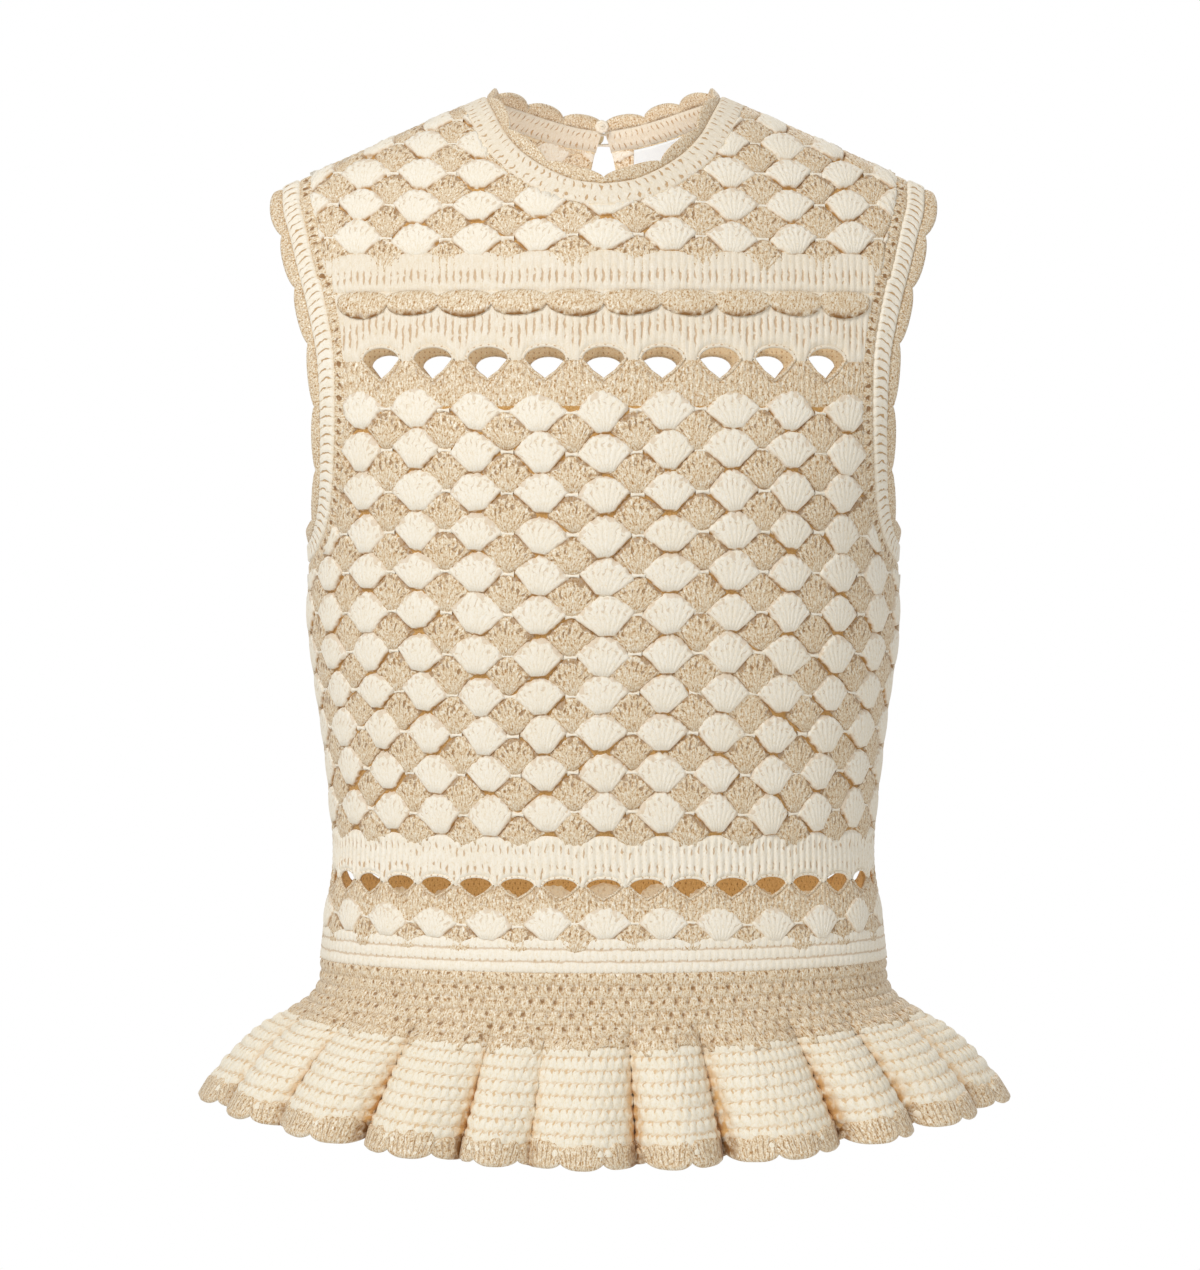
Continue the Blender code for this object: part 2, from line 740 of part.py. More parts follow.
def half_outline(pattern, neck, armhole):
    """Outline of a panel's +X half: neck, shoulder, armhole, side, waist."""
    side = pattern.side
    neck_points = []
    for k, kind in enumerate(neck.kinds[: len(neck.kinds) // 2 + 1]):
        if neck.sides[k] != side and kind != "crest":
            continue
        place = neck.offset(k, NECK_BAND + HALF_GAP)[0]
        neck_points.append((place[0], place[2]))
    if side == FRONT:
        neck_points.reverse()
    if side == BACK:
        slit, _ = slit_side(pattern, neck)
        neck_points = slit[::-1] + neck_points[1:]
    arm_points = []
    distance = ARMHOLE_EDGING + ARMHOLE_BAND + HALF_GAP
    count = len(armhole.kinds)
    way = 1 if side == FRONT else -1
    for k in [way * step % count for step in range(count // 2 + 1)]:
        place = armhole.offset(k, distance)[0]
        arm_points.append((place[0], place[2]))
    start = neck_points[-1][0]
    end = arm_points[0][0]
    shoulder = []
    for k in range(1, SHOULDER_STEPS):
        x = start + (end - start) * k / SHOULDER_STEPS
        shoulder.append((x, float(crest_height(x))))
    top = arm_points[-1][1]
    low = WAIST_BAND_TOP + HALF_GAP
    side_points = []
    for k in range(1, SIDE_STEPS + 1):
        z = top + (low - top) * k / SIDE_STEPS
        side_points.append((float(half_width(z)), z))
    waist = []
    limit = girth_limit(low, side)
    for k in range(COLUMNS_IN_PANEL - 1, 0, -1):
        waist.append((across_at(limit * k / COLUMNS_IN_PANEL, low, side), low))
    return neck_points, shoulder + arm_points + side_points + waist, (0.0, low)


def panel_loop(pattern, neck, armhole):
    """Closed outline of a panel, as indices of its pattern."""
    neck_points, rest, middle = half_outline(pattern, neck, armhole)
    right = neck_points + rest
    loop = []
    if pattern.side == BACK:
        _, tip = slit_side(pattern, neck)
        loop.append(pattern.add(0.0, tip))
    if pattern.side == FRONT:
        loop.append(pattern.add(0.0, right[0][1]))
        right = right[1:]
    for x, z in right:
        loop.append(pattern.add(x, z, off_seam=True))
    loop.append(pattern.add(middle[0], middle[1]))
    for x, z in reversed(right):
        loop.append(pattern.add(-x, z, off_seam=True))
    return loop


def add_panel(name, side, neck, armhole):
    """Front or back of the body, with its chest eyelets cut through."""
    pattern = Pattern(side)
    loops = [panel_loop(pattern, neck, armhole)]
    for k in range(CHEST_EYELETS):
        girth = (k - (CHEST_EYELETS - 1) / 2) * CHEST_EYELET_PITCH
        loops.append(eyelet_loop(pattern, girth, CHEST_EYELET_HEIGHT, CHEST_EYELET_SIZE))
    lattice = panel_lattice(pattern)
    outer = points_within(pattern, [i for i, _ in lattice], loops)
    plain = {i for i, keep in lattice if keep}
    inner = [i for i in outer if i in plain]
    return add_pattern_wall(name, pattern, loops, outer, inner, "cream")


def add_waist_band(name, side):
    """Half of the waist band, with its ring of small eyelets cut through."""
    pattern = Pattern(side)
    top = WAIST_BAND_TOP - HALF_GAP
    low = WAIST_BAND_LOW + HALF_GAP
    outline = []
    for k in range(-COLUMNS_IN_PANEL, COLUMNS_IN_PANEL + 1):
        share = k / COLUMNS_IN_PANEL
        outline.append((across_at(share * girth_limit(top, side), top, side), top))
    for k in range(1, WAIST_SIDE_STEPS):
        z = top + (low - top) * k / WAIST_SIDE_STEPS
        outline.append((float(half_width(z)), z))
    for k in range(COLUMNS_IN_PANEL, -COLUMNS_IN_PANEL - 1, -1):
        share = k / COLUMNS_IN_PANEL
        outline.append((across_at(share * girth_limit(low, side), low, side), low))
    for k in range(WAIST_SIDE_STEPS - 1, 0, -1):
        z = top + (low - top) * k / WAIST_SIDE_STEPS
        outline.append((-float(half_width(z)), z))
    loops = [[pattern.add(x, z, off_seam=True) for x, z in outline]]
    pitch = 2 * girth_limit(WAIST_EYELET_HEIGHT, side) / WAIST_EYELETS
    for k in range(WAIST_EYELETS):
        girth = (k - (WAIST_EYELETS - 1) / 2) * pitch
        loops.append(eyelet_loop(pattern, girth, WAIST_EYELET_HEIGHT, WAIST_EYELET_SIZE))
    heights = table_column(WAIST_ROWS, WAIST_COLUMNS, "height") * MM
    starts = table_column(WAIST_ROWS, WAIST_COLUMNS, "start")
    raises = table_column(WAIST_ROWS, WAIST_COLUMNS, "raise_mm") * MM
    candidates = []
    for z, start, raised in zip(heights, starts, raises):
        pitch = column_pitch(z, side)
        for half_column in range(-COLUMNS_IN_PANEL + 1, COLUMNS_IN_PANEL):
            shell = (half_column / 2 - start) % 1 == 0
            place = pattern.add_flat(half_column * pitch / 2, z, raised if shell else 0.0)
            candidates.append((place, shell))
    outer = points_within(pattern, [i for i, _ in candidates], loops)
    plain = {i for i, keep in candidates if keep}
    inner = [i for i in outer if i in plain]
    return add_pattern_wall(name, pattern, loops, outer, inner, "cream")


def add_chest_trim(name, side, armhole):
    """Raised rib whose scalloped lower edge stands off the panel."""
    steps = TRIM_SCALLOPS * STEPS_A_SCALLOP
    distance = ARMHOLE_EDGING + ARMHOLE_BAND + TRIM_END_GAP
    wanted = (TRIM_TOP + TRIM_LOW) / 2
    order = [k for k in range(len(armhole.kinds)) if armhole.sides[k] == side]
    ends = [armhole.offset(k, distance)[0] for k in order]
    heights = np.array([end[2] for end in ends])
    widths = np.array([end[0] for end in ends])
    rising = np.argsort(heights)
    end_width = float(np.interp(wanted, heights[rising], widths[rising]))
    limit = girth_at(end_width, wanted, side)
    outer = [[], []]
    inner = [[], []]
    for k in range(steps + 1):
        girth = limit * (2 * k / steps - 1)
        low = TRIM_LOW - TRIM_DIP * scallop(k, STEPS_A_SCALLOP)
        for row, z, lift in ((0, TRIM_TOP, TRIM_LIFT_TOP), (1, low, TRIM_LIFT_LOW)):
            x = across_at(girth, z, side)
            place = body_point(x, z, side)
            normal = body_normal(x, z, side)
            stand = WALL / 2 + BAND_RAISE + lift
            inner[row].append(place + normal * stand)
            outer[row].append(place + normal * (stand + TRIM_WALL))
    return add_ribbon(name, outer, inner, False, "gold")


# ---------------------------------------------------------------- borders
def add_armhole_pieces(armhole, label, mirror):
    """Gold edging and cream band round one armhole."""
    count = len(armhole.kinds)
    flip = np.array([mirror, 1.0, 1.0])
    spans = (
        ("edging", None, ARMHOLE_EDGING - HALF_GAP, "gold"),
        ("band", ARMHOLE_EDGING + HALF_GAP, ARMHOLE_EDGING + ARMHOLE_BAND - HALF_GAP, "cream"),
    )
    for piece, near, far, finish in spans:
        rows = [[], []]
        for k in range(count):
            start = near
            if start is None:
                start = -ARMHOLE_BUMP * scallop(k, STEPS_AN_ARMHOLE_SCALLOP)
            for row, distance in enumerate((start, far)):
                place, normal = armhole.offset(k, distance)
                rows[row].append((place * flip, normal * flip))
        outer, inner = wall_rows(rows)
        add_ribbon(f"armhole_{piece}_{label}", outer, inner, True, finish)


def add_neck_pieces(neck):
    """Gold edging and cream band round the neck, parted by the nape slit."""
    count = len(neck.kinds)
    spans = (
        ("neck_edging", None, -HALF_GAP, "gold"),
        ("neck_band", HALF_GAP, NECK_BAND - HALF_GAP, "cream"),
    )
    for name, near, far, finish in spans:
        rows = [[], []]
        for k in range(count):
            start = near
            if start is None:
                start = -NECK_EDGING - NECK_BUMP * scallop(k, STEPS_A_SCALLOP)
            for row, distance in enumerate((start, far)):
                place, normal = neck.offset(k, distance)
                if k in (0, count - 1):
                    share = max(distance, 0.0) / NECK_BAND
                    x = SLIT_MOUTH + (SLIT_BAND_FOOT - SLIT_MOUTH) * share
                    x = x if k == 0 else -x
                    place = body_point(x, place[2], BACK)
                    normal = body_normal(x, place[2], BACK)
                if distance < -NECK_EDGING / 2:
                    place = place + normal * NECK_STAND
                rows[row].append((place, normal))
        outer, inner = wall_rows(rows)
        add_ribbon(name, outer, inner, False, finish)


def add_neck_label(neck):
    """Blank label that follows the inside of the back, under the neck band."""
    quarter = NECK_SCALLOPS * STEPS_A_SCALLOP // 4
    points = [neck.offset(k, NECK_BAND + LABEL_TOP)[0] for k in range(quarter)]
    xs = np.array([p[0] for p in points])
    zs = np.array([p[2] for p in points])
    outer = []
    inner = []
    for row in range(LABEL_ROWS + 1):
        outer.append([])
        inner.append([])
        for k in range(LABEL_COLUMNS + 1):
            x = LABEL_SPAN[0] + (LABEL_SPAN[1] - LABEL_SPAN[0]) * k / LABEL_COLUMNS
            rise = rise_at(float(np.interp(x, xs, zs)), BACK) - LABEL_DEPTH * row / LABEL_ROWS
            z = height_at(rise, BACK)
            place = body_point(x, z, BACK)
            normal = body_normal(x, z, BACK)
            stand = WALL / 2 + LABEL_STANDOFF
            outer[-1].append(place - normal * stand)
            inner[-1].append(place - normal * (stand + LABEL_WALL))
    return add_ribbon("neck_label", outer, inner, False, "white")


def add_button():
    """Round button with a shank, on the -X end of the neck band."""
    x, z = BUTTON_PLACE
    place = body_point(x, z, BACK)
    normal = body_normal(x, z, BACK)
    right = np.array([1.0, 0.0, 0.0]) - normal * normal[0]
    right /= np.linalg.norm(right)
    up = np.cross(normal, right)
    base = place + normal * (WALL / 2 + BUTTON_STANDOFF)
    radii = table_column(BUTTON_PROFILE, BUTTON_COLUMNS, "radius") * MM
    heights = table_column(BUTTON_PROFILE, BUTTON_COLUMNS, "height") * MM
    corners = [base]
    for radius, height in zip(radii, heights):
        for k in range(BUTTON_SIDES):
            turn = 2 * math.pi * k / BUTTON_SIDES
            arm = right * math.cos(turn) + up * math.sin(turn)
            corners.append(base + arm * radius + normal * height)
    corners.append(base + normal * BUTTON_TOP)
    top = len(corners) - 1
    faces = []
    for k in range(BUTTON_SIDES):
        after = (k + 1) % BUTTON_SIDES
        faces.append([0, 1 + after, 1 + k])
        for ring_number in range(len(radii) - 1):
            low = 1 + ring_number * BUTTON_SIDES
            high = low + BUTTON_SIDES
            faces.append([low + k, low + after, high + after, high + k])
        last = 1 + (len(radii) - 1) * BUTTON_SIDES
        faces.append([last + k, last + after, top])
    return add_object("nape_button", corners, faces, "cream")


def add_nape_loop():
    """Cord loop from the +X end of the neck band round the button's shank."""
    x, z = BUTTON_PLACE
    route = [(LOOP_LENGTH, LOOP_TURN), (LOOP_LENGTH * LOOP_BEND, LOOP_TURN)]
    for k in range(LOOP_TURN_STEPS + 1):
        turn = math.pi / 2 + math.pi * k / LOOP_TURN_STEPS
        route.append((LOOP_TURN * math.cos(turn), LOOP_TURN * math.sin(turn)))
    route += [(LOOP_LENGTH * LOOP_BEND, -LOOP_TURN), (LOOP_LENGTH, -LOOP_TURN)]
    centres = []
    normals = []
    for right, up in route:
        normal = body_normal(x + right, z + up, BACK)
        stand = WALL / 2 + BUTTON_STANDOFF + LOOP_RADIUS
        centres.append(body_point(x + right, z + up, BACK) + normal * stand)
        normals.append(normal)
    corners = []
    count = len(centres)
    for k, centre in enumerate(centres):
        ahead = centres[min(k + 1, count - 1)] - centres[max(k - 1, 0)]
        across = np.cross(normals[k], ahead)
        across /= np.linalg.norm(across)
        lift = np.cross(ahead, across)
        lift /= np.linalg.norm(lift)
        for j in range(LOOP_SIDES):
            turn = 2 * math.pi * j / LOOP_SIDES
            arm = across * math.cos(turn) + lift * math.sin(turn)
            corners.append(centre + arm * LOOP_RADIUS)
    faces = []
    for k in range(count - 1):
        for j in range(LOOP_SIDES):
            a = k * LOOP_SIDES + j
            b = k * LOOP_SIDES + (j + 1) % LOOP_SIDES
            faces.append([a, b, b + LOOP_SIDES, a + LOOP_SIDES])
    faces.append(list(range(LOOP_SIDES))[::-1])
    faces.append([(count - 1) * LOOP_SIDES + j for j in range(LOOP_SIDES)])
    return add_object("nape_loop", corners, faces, "cream")


# ---------------------------------------------------------------- peplum
PEPLUM_SHARES = table_column(PEPLUM_SECTIONS, PEPLUM_COLUMNS, "share")
VALLEY_ANGLES = table_column(FLUTE_VALLEYS, FLUTE_COLUMNS, "angle")
VALLEY_DEPTHS = table_column(FLUTE_VALLEYS, FLUTE_COLUMNS, "depth")


def peplum_read(name, share):
    """One column of the peplum's sections, at a share of its drop."""
    values = table_column(PEPLUM_SECTIONS, PEPLUM_COLUMNS, name)
    return float(smooth_read(PEPLUM_SHARES, values, share)) * MM


def flute(angle):
    """Wave of the flutes at an angle in degrees: round crests, pinched valleys."""
    angles = np.append(VALLEY_ANGLES, VALLEY_ANGLES[0] + 360)
    depths = np.append(VALLEY_DEPTHS, VALLEY_DEPTHS[0])
    angle = (angle - angles[0]) % 360 + angles[0]
    k = int(np.searchsorted(angles, angle, side="right")) - 1
    k = min(k, len(angles) - 2)
    share = (angle - angles[k]) / (angles[k + 1] - angles[k])
    depth = depths[k] * (1 - share) + depths[k + 1] * share
    across = (math.sin(math.pi * share) ** 2 + FLUTE_ROUND) / (1 + FLUTE_ROUND)
    return depth * (2 * across**FLUTE_PINCH - FLUTE_SINK)


def peplum_point(angle, share):
    """Middle of the peplum's cloth at an angle round it and a share of its drop."""
    turn = math.radians(angle)
    wide = peplum_read("half_width", share)
    deep = peplum_read("front_depth" if math.cos(turn) > 0 else "back_depth", share)
    side_weight = math.sin(turn) ** 2
    side_height = peplum_read("side_height", share)
    front_height = peplum_read("front_height", share)
    z = side_height * side_weight + front_height * (1 - side_weight)
    growth = max((share - FLUTE_START) / (1 - FLUTE_START), 0.0) ** FLUTE_GROWTH
    outward = np.array([math.sin(turn) / wide, -math.cos(turn) / deep, 0.0])
    outward /= np.linalg.norm(outward)
    base = np.array([wide * math.sin(turn), -deep * math.cos(turn), z])
    return base + outward * FLUTE_HEIGHT * growth * flute(angle)


def peplum_spot(angle, share):
    """Place and outward normal of the peplum's cloth."""
    along = peplum_point(angle + ANGLE_STEP, share) - peplum_point(angle - ANGLE_STEP, share)
    low = min(share + SHARE_STEP, 1.0)
    high = max(share - SHARE_STEP, 0.0)
    down = peplum_point(angle, low) - peplum_point(angle, high)
    normal = np.cross(down, along)
    return peplum_point(angle, share), normal / np.linalg.norm(normal)


def hem_angles():
    """Angles that part the hem into equal lengths, before its flutes."""
    count = HEM_SCALLOPS * STEPS_A_HEM_SCALLOP
    turns = np.linspace(-180, 180, HEM_FINE_STEPS + 1)
    wide = peplum_read("half_width", 1.0)
    deep = (peplum_read("front_depth", 1.0) + peplum_read("back_depth", 1.0)) / 2
    x = wide * np.sin(np.radians(turns))
    y = deep * np.cos(np.radians(turns))
    lengths = np.concatenate([[0.0], np.cumsum(np.hypot(np.diff(x), np.diff(y)))])
    wanted = lengths[-1] * np.arange(count) / count
    return np.interp(wanted, lengths, turns)


def add_peplum_piece(name, shares, scalloped, finish):
    """One tube of the peplum between two shares of its drop."""
    angles = hem_angles()
    rows = []
    for number, share in enumerate(shares):
        row = []
        for k, angle in enumerate(angles):
            down = share
            if scalloped and number == len(shares) - 1 and k % STEPS_A_HEM_SCALLOP == 0:
                down = share - HEM_NOTCH
            row.append(peplum_spot(float(angle), down))
        rows.append(row)
    outer, inner = wall_rows(rows)
    return add_ribbon(name, outer, inner, True, finish)


def add_peplum():
    """Gold yoke, cream ruffle and gold scalloped edge."""
    gap = HALF_GAP / PEPLUM_DROP
    add_peplum_piece("peplum_yoke", (gap, YOKE_END / 2, YOKE_END - gap), False, "gold")
    middle = (RUFFLE_END + YOKE_END) / 2
    levels = (YOKE_END + gap, middle, RUFFLE_END - gap)
    add_peplum_piece("peplum_ruffle", levels, False, "cream")
    add_peplum_piece("hem_edging", (RUFFLE_END + gap, 1.0), True, "gold")


def main():
    """Clear the scene and build every piece."""
    for old in list(bpy.data.objects):
        bpy.data.objects.remove(old, do_unlink=True)
    neck = neck_line()
    armhole = armhole_line()
    add_panel("front_panel", FRONT, neck, armhole)
    add_panel("back_panel", BACK, neck, armhole)
    add_chest_trim("chest_trim_front", FRONT, armhole)
    add_chest_trim("chest_trim_back", BACK, armhole)
    add_waist_band("waist_band_front", FRONT)
    add_waist_band("waist_band_back", BACK)
    add_armhole_pieces(armhole, "left", 1.0)
    add_armhole_pieces(armhole, "right", -1.0)
    add_neck_pieces(neck)
    add_neck_label(neck)
    add_button()
    add_nape_loop()
    add_peplum()


main()
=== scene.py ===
"""Sleeveless crochet top with a fluted peplum: its yarns, stitches and edges.

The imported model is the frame. Metres, +Z up, the front faces -Y, the wearer's
left is +X. Each piece follows the form of the solids that it stands for.
"""

import logging
import math
from collections.abc import Callable
from dataclasses import dataclass, field
from enum import Enum, IntEnum

import bpy
import numpy as np
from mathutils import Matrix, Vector
from mathutils.geometry import delaunay_2d_cdt


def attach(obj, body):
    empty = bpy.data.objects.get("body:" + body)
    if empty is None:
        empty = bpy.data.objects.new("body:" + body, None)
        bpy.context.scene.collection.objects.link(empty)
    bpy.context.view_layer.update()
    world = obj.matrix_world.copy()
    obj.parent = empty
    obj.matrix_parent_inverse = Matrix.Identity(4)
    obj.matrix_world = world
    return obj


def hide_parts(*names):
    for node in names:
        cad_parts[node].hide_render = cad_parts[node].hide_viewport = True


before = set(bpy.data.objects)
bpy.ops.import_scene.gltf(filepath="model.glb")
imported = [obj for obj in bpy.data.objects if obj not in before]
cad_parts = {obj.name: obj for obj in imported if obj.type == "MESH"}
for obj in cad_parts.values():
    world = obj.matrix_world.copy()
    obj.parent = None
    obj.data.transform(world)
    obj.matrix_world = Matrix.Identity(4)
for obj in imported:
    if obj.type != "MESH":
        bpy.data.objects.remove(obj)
LOG = logging.getLogger("crochet_top")
Array = np.ndarray
Tree = bpy.types.NodeTree
Socket = bpy.types.NodeSocket
Material = bpy.types.Material
Thing = bpy.types.Object

MM = 0.001
HALF_WALL = 1.0 * MM
UP = np.array([0.0, 0.0, 1.0])


class Side(IntEnum):
    """Half of the body, by the sign of y."""

    FRONT = -1
    BACK = 1


# ---------------------------------------------------------------- small tools
def smooth_read(keys: Array, values: Array, at: Array) -> Array:
    """Cubic curve through points.

    Args:
        keys: rising positions of the points.
        values: value at each position.
        at: positions to read.

    Returns:
        The curve's values at those positions.
    """
    slopes = np.gradient(values, keys)
    at = np.clip(np.asarray(at, dtype=float), keys[0], keys[-1])
    low = np.clip(np.searchsorted(keys, at) - 1, 0, len(keys) - 2)
    width = keys[low + 1] - keys[low]
    t = (at - keys[low]) / width
    rise = 3 * t**2 - 2 * t**3
    start_pull = (t**3 - 2 * t**2 + t) * width * slopes[low]
    end_pull = (t**3 - t**2) * width * slopes[low + 1]
    return values[low] * (1 - rise) + values[low + 1] * rise + start_pull + end_pull


def columns_of(rows: tuple, scale: float = 1.0) -> list[Array]:
    """Columns of a table of numbers, scaled."""
    return [np.array(column, dtype=float) * scale for column in zip(*rows)]


def ridge(share: Array, power: float = 2.0) -> Array:
    """Round ridge over each whole step of share: 0 at its ends, 1 in its middle."""
    return 1 - np.abs(2 * (share % 1.0) - 1) ** power


def rounded(distance: Array, reach: float) -> Array:
    """Quarter-round rise from 0 at distance 0 to 1 at reach."""
    t = np.clip(distance / reach, 0, 1)
    return np.sqrt(1 - (1 - t) ** 2)


def unit(vectors: Array) -> Array:
    """The same directions, with length 1."""
    return vectors / np.linalg.norm(vectors, axis=-1, keepdims=True)


def joined(*parts: Array) -> Array:
    """Arrays, stretched over each other, as the last axis of one."""
    return np.stack(np.broadcast_arrays(*parts), axis=-1)


def summed(steps: Array) -> Array:
    """Length from the start to each point, by the steps between them."""
    return np.concatenate([[0.0], np.cumsum(steps)])


def path_lengths(points: Array) -> Array:
    """Length along a line to each of its points."""
    return summed(np.linalg.norm(np.diff(points, axis=0), axis=1))


def shares(rows: int) -> Array:
    """Shares from 0 to 1 down a grid, one to each line of points."""
    return np.linspace(0, 1, rows + 1)[:, None]


def full_turn(count: int) -> Array:
    """Angles round a whole turn, its end left out."""
    return np.linspace(0, 2 * math.pi, count + 1)[:-1]


# ---------------------------------------------------------------- body form
BODY_SECTIONS = (
    (-480.0, 153.0, 107.0, 103.0),
    (-467.0, 151.0, 105.0, 102.0),
    (-445.0, 148.5, 101.5, 98.0),
    (-420.0, 144.5, 98.5, 94.0),
    (-376.0, 146.5, 102.0, 93.0),
    (-338.0, 151.0, 108.0, 95.0),
    (-293.0, 157.0, 116.0, 99.0),
    (-238.0, 159.0, 122.0, 104.0),
    (-195.0, 173.0, 121.0, 106.0),
    (-150.0, 188.0, 116.0, 104.0),
    (-100.0, 196.0, 108.0, 100.0),
    (-50.0, 198.0, 102.0, 94.0),
    (20.0, 194.0, 98.0, 88.0),
)


class BodyForm:
    """The form that the cloth follows, with its flat pattern of girth and rise."""

    neck_point = 50.0 * MM
    crest_slope = 0.46
    crest_round = 25.0 * MM
    crest_reach = 200.0 * MM
    crest_power = 0.57
    rise_column = 80.0 * MM
    steep_below = 60.0 * MM
    crest_start = math.hypot(neck_point, crest_round)
    slope_step = 0.001 * MM
    table_low = -490.0 * MM
    table_high = 8.0 * MM
    level_step = 1.0 * MM
    girth_step = 0.5 * MM
    girth_reach = 300.0 * MM

    def __init__(self) -> None:
        """Read the sections and work out the pattern's tables."""
        self.heights, self.half_widths, front, back = columns_of(BODY_SECTIONS, MM)
        self.depths = {Side.FRONT: front, Side.BACK: back}
        self.across_tables = {side: self._across_table(side) for side in Side}
        self.rise_tables = {side: self._rise_table(side) for side in Side}

    def half_width(self, z: Array) -> Array:
        """Half width of the level section at height z."""
        return smooth_read(self.heights, self.half_widths, z)

    def crest(self, x: Array) -> Array:
        """Height of the shoulder line at distance x from the centre."""
        return self.crest_slope * (self.crest_start - np.hypot(x, self.crest_round))

    def crest_distance(self, z: float) -> float:
        """Distance from the centre where the shoulder line is at height z."""
        reach = self.crest_start - z / self.crest_slope
        return math.sqrt(max(reach**2 - self.crest_round**2, 0.0))

    def full_depth(self, x: Array, z: Array, side: Array) -> Array:
        """Square of a section's depth, before it narrows towards the sides."""
        drop = np.minimum((self.crest(x) - z) / self.crest_reach, 1)
        lift = np.maximum(1 - (1 - drop) ** 2, 0)
        front = smooth_read(self.heights, self.depths[Side.FRONT], z)
        back = smooth_read(self.heights, self.depths[Side.BACK], z)
        depth = np.where(np.asarray(side) < 0, front, back)
        return depth**2 * lift ** (2 * self.crest_power)

    def depth_squared(self, x: Array, z: Array, side: Array) -> Array:
        """Square of the distance from the shoulders' plane."""
        across = np.maximum(1 - (x / self.half_width(z)) ** 2, 0)
        return self.full_depth(x, z, side) * across

    def point(self, x: Array, z: Array, side: Array) -> Array:
        """Points of the middle surface at (x, z)."""
        y = np.asarray(side) * np.sqrt(self.depth_squared(x, z, side))
        return joined(x, y, z)

    def normal(self, x: Array, z: Array, side: Array) -> Array:
        """Outward directions of the surface at (x, z)."""
        step = self.slope_step
        by_x = self.depth_squared(x + step, z, side) - self.depth_squared(x - step, z, side)
        by_z = self.depth_squared(x, z + step, side) - self.depth_squared(x, z - step, side)
        depth = np.asarray(side) * np.sqrt(self.depth_squared(x, z, side))
        found = joined(-by_x / (4 * step), depth, -by_z / (4 * step))
        length = np.linalg.norm(found, axis=-1, keepdims=True)
        return np.where(length > 1e-9, found / np.maximum(length, 1e-9), UP)

    def _ring(self, z: float, side: Side) -> tuple[Array, Array]:
        """Distances from the centre and lengths round the section at z."""
        reach = min(float(self.half_width(z)), self.crest_distance(z))
        x = reach * np.sin(np.linspace(0, math.pi / 2, 61))
        y = np.sqrt(self.depth_squared(x, np.full_like(x, z), side))
        return x, summed(np.hypot(np.diff(x), np.diff(y)))

    def _across_table(self, side: Side) -> Array:
        """Distance from the centre, by height and by length round the body."""
        levels = np.arange(self.table_low, self.table_high, self.level_step)
        girths = np.arange(0, self.girth_reach, self.girth_step)
        rings = (self._ring(float(z), side) for z in levels)
        return np.array([np.interp(girths, lengths, x) for x, lengths in rings])

    def _rise_table(self, side: Side) -> tuple[Array, Array]:
        """Heights and lengths up the cloth along one column of the pattern."""
        top = float(self.crest(self.rise_column)) - 2 * MM
        heights = np.linspace(-480 * MM, top, 241)
        depths = np.sqrt(self.depth_squared(self.rise_column, heights, side))
        lengths = summed(np.hypot(np.diff(heights), np.diff(depths)))
        spare = 60 * MM
        heights = np.append(heights, top + spare)
        return heights, np.append(lengths, lengths[-1] + 2 * spare)

    def limit(self, z: float, side: Side) -> float:
        """Length round the body from the centre to the side or the crest."""
        return float(self._ring(z, side)[1][-1])

    def girth(self, x: float, z: float, side: Side) -> float:
        """Length round the body from the centre line to x."""
        xs, lengths = self._ring(z, side)
        return math.copysign(float(np.interp(abs(x), xs, lengths)), x)

    def rise(self, z: Array, side: Side) -> Array:
        """Length up the cloth to height z."""
        return np.interp(z, *self.rise_tables[side])

    def height(self, rise: Array, side: Side) -> Array:
        """Height at a length up the cloth."""
        return np.interp(rise, *self.rise_tables[side][::-1])

    def across(self, girth: Array, z: Array, side: Side) -> Array:
        """Distance from the centre at a length round the body."""
        table = self.across_tables[side]
        level = np.clip((z - self.table_low) / self.level_step, 0, len(table) - 1.001)
        place = np.clip(np.abs(girth) / self.girth_step, 0, table.shape[1] - 1.001)
        row, column = level.astype(int), place.astype(int)
        down, along = level - row, place - column
        near = table[row, column] * (1 - along) + table[row, column + 1] * along
        far = table[row + 1, column] * (1 - along) + table[row + 1, column + 1] * along
        return np.copysign(near * (1 - down) + far * down, girth)

    def place(self, flat: Array, side: Side, lift: Array) -> tuple[Array, Array]:
        """Points of a piece on the body.

        Args:
            flat: lengths round the body from the centre line, and up the cloth.
            side: front or back.
            lift: distances off the middle surface, outward.

        Returns:
            The points and the outward directions there.
        """
        z = self.height(flat[..., 1], side)
        x = self.across(flat[..., 0], z, side)
        z = np.minimum(z, self.crest(x) - 0.01 * MM)
        x = np.clip(x, 0.001 * MM - self.half_width(z), self.half_width(z) - 0.001 * MM)
        normal = self.normal(x, z, side)
        return self.point(x, z, side) + normal * np.asarray(lift)[..., None], normal

    def across_seam(self, z: Array, y: Array) -> Array:
        """Points of the middle surface over the side seam."""
        side = np.where(y > 0, Side.BACK, Side.FRONT)
        full = self.full_depth(self.half_width(z), z, side)
        x = self.half_width(z) * np.sqrt(np.maximum(1 - y**2 / full, 0))
        return joined(x, y, z)

    def across_crest(self, x: Array, y: Array) -> Array:
        """Points of the middle surface over the shoulder seam."""
        top = self.crest(x)
        depths = [smooth_read(self.heights, self.depths[side], top) for side in Side]
        depth = np.where(y > 0, depths[1], depths[0]) * np.sqrt(1 - (x / self.half_width(top)) ** 2)
        lift = np.minimum(np.abs(y) / depth, 1) ** (1 / self.crest_power)
        return joined(x, y, top - self.crest_reach * (1 - np.sqrt(1 - lift)))


BODY = BodyForm()


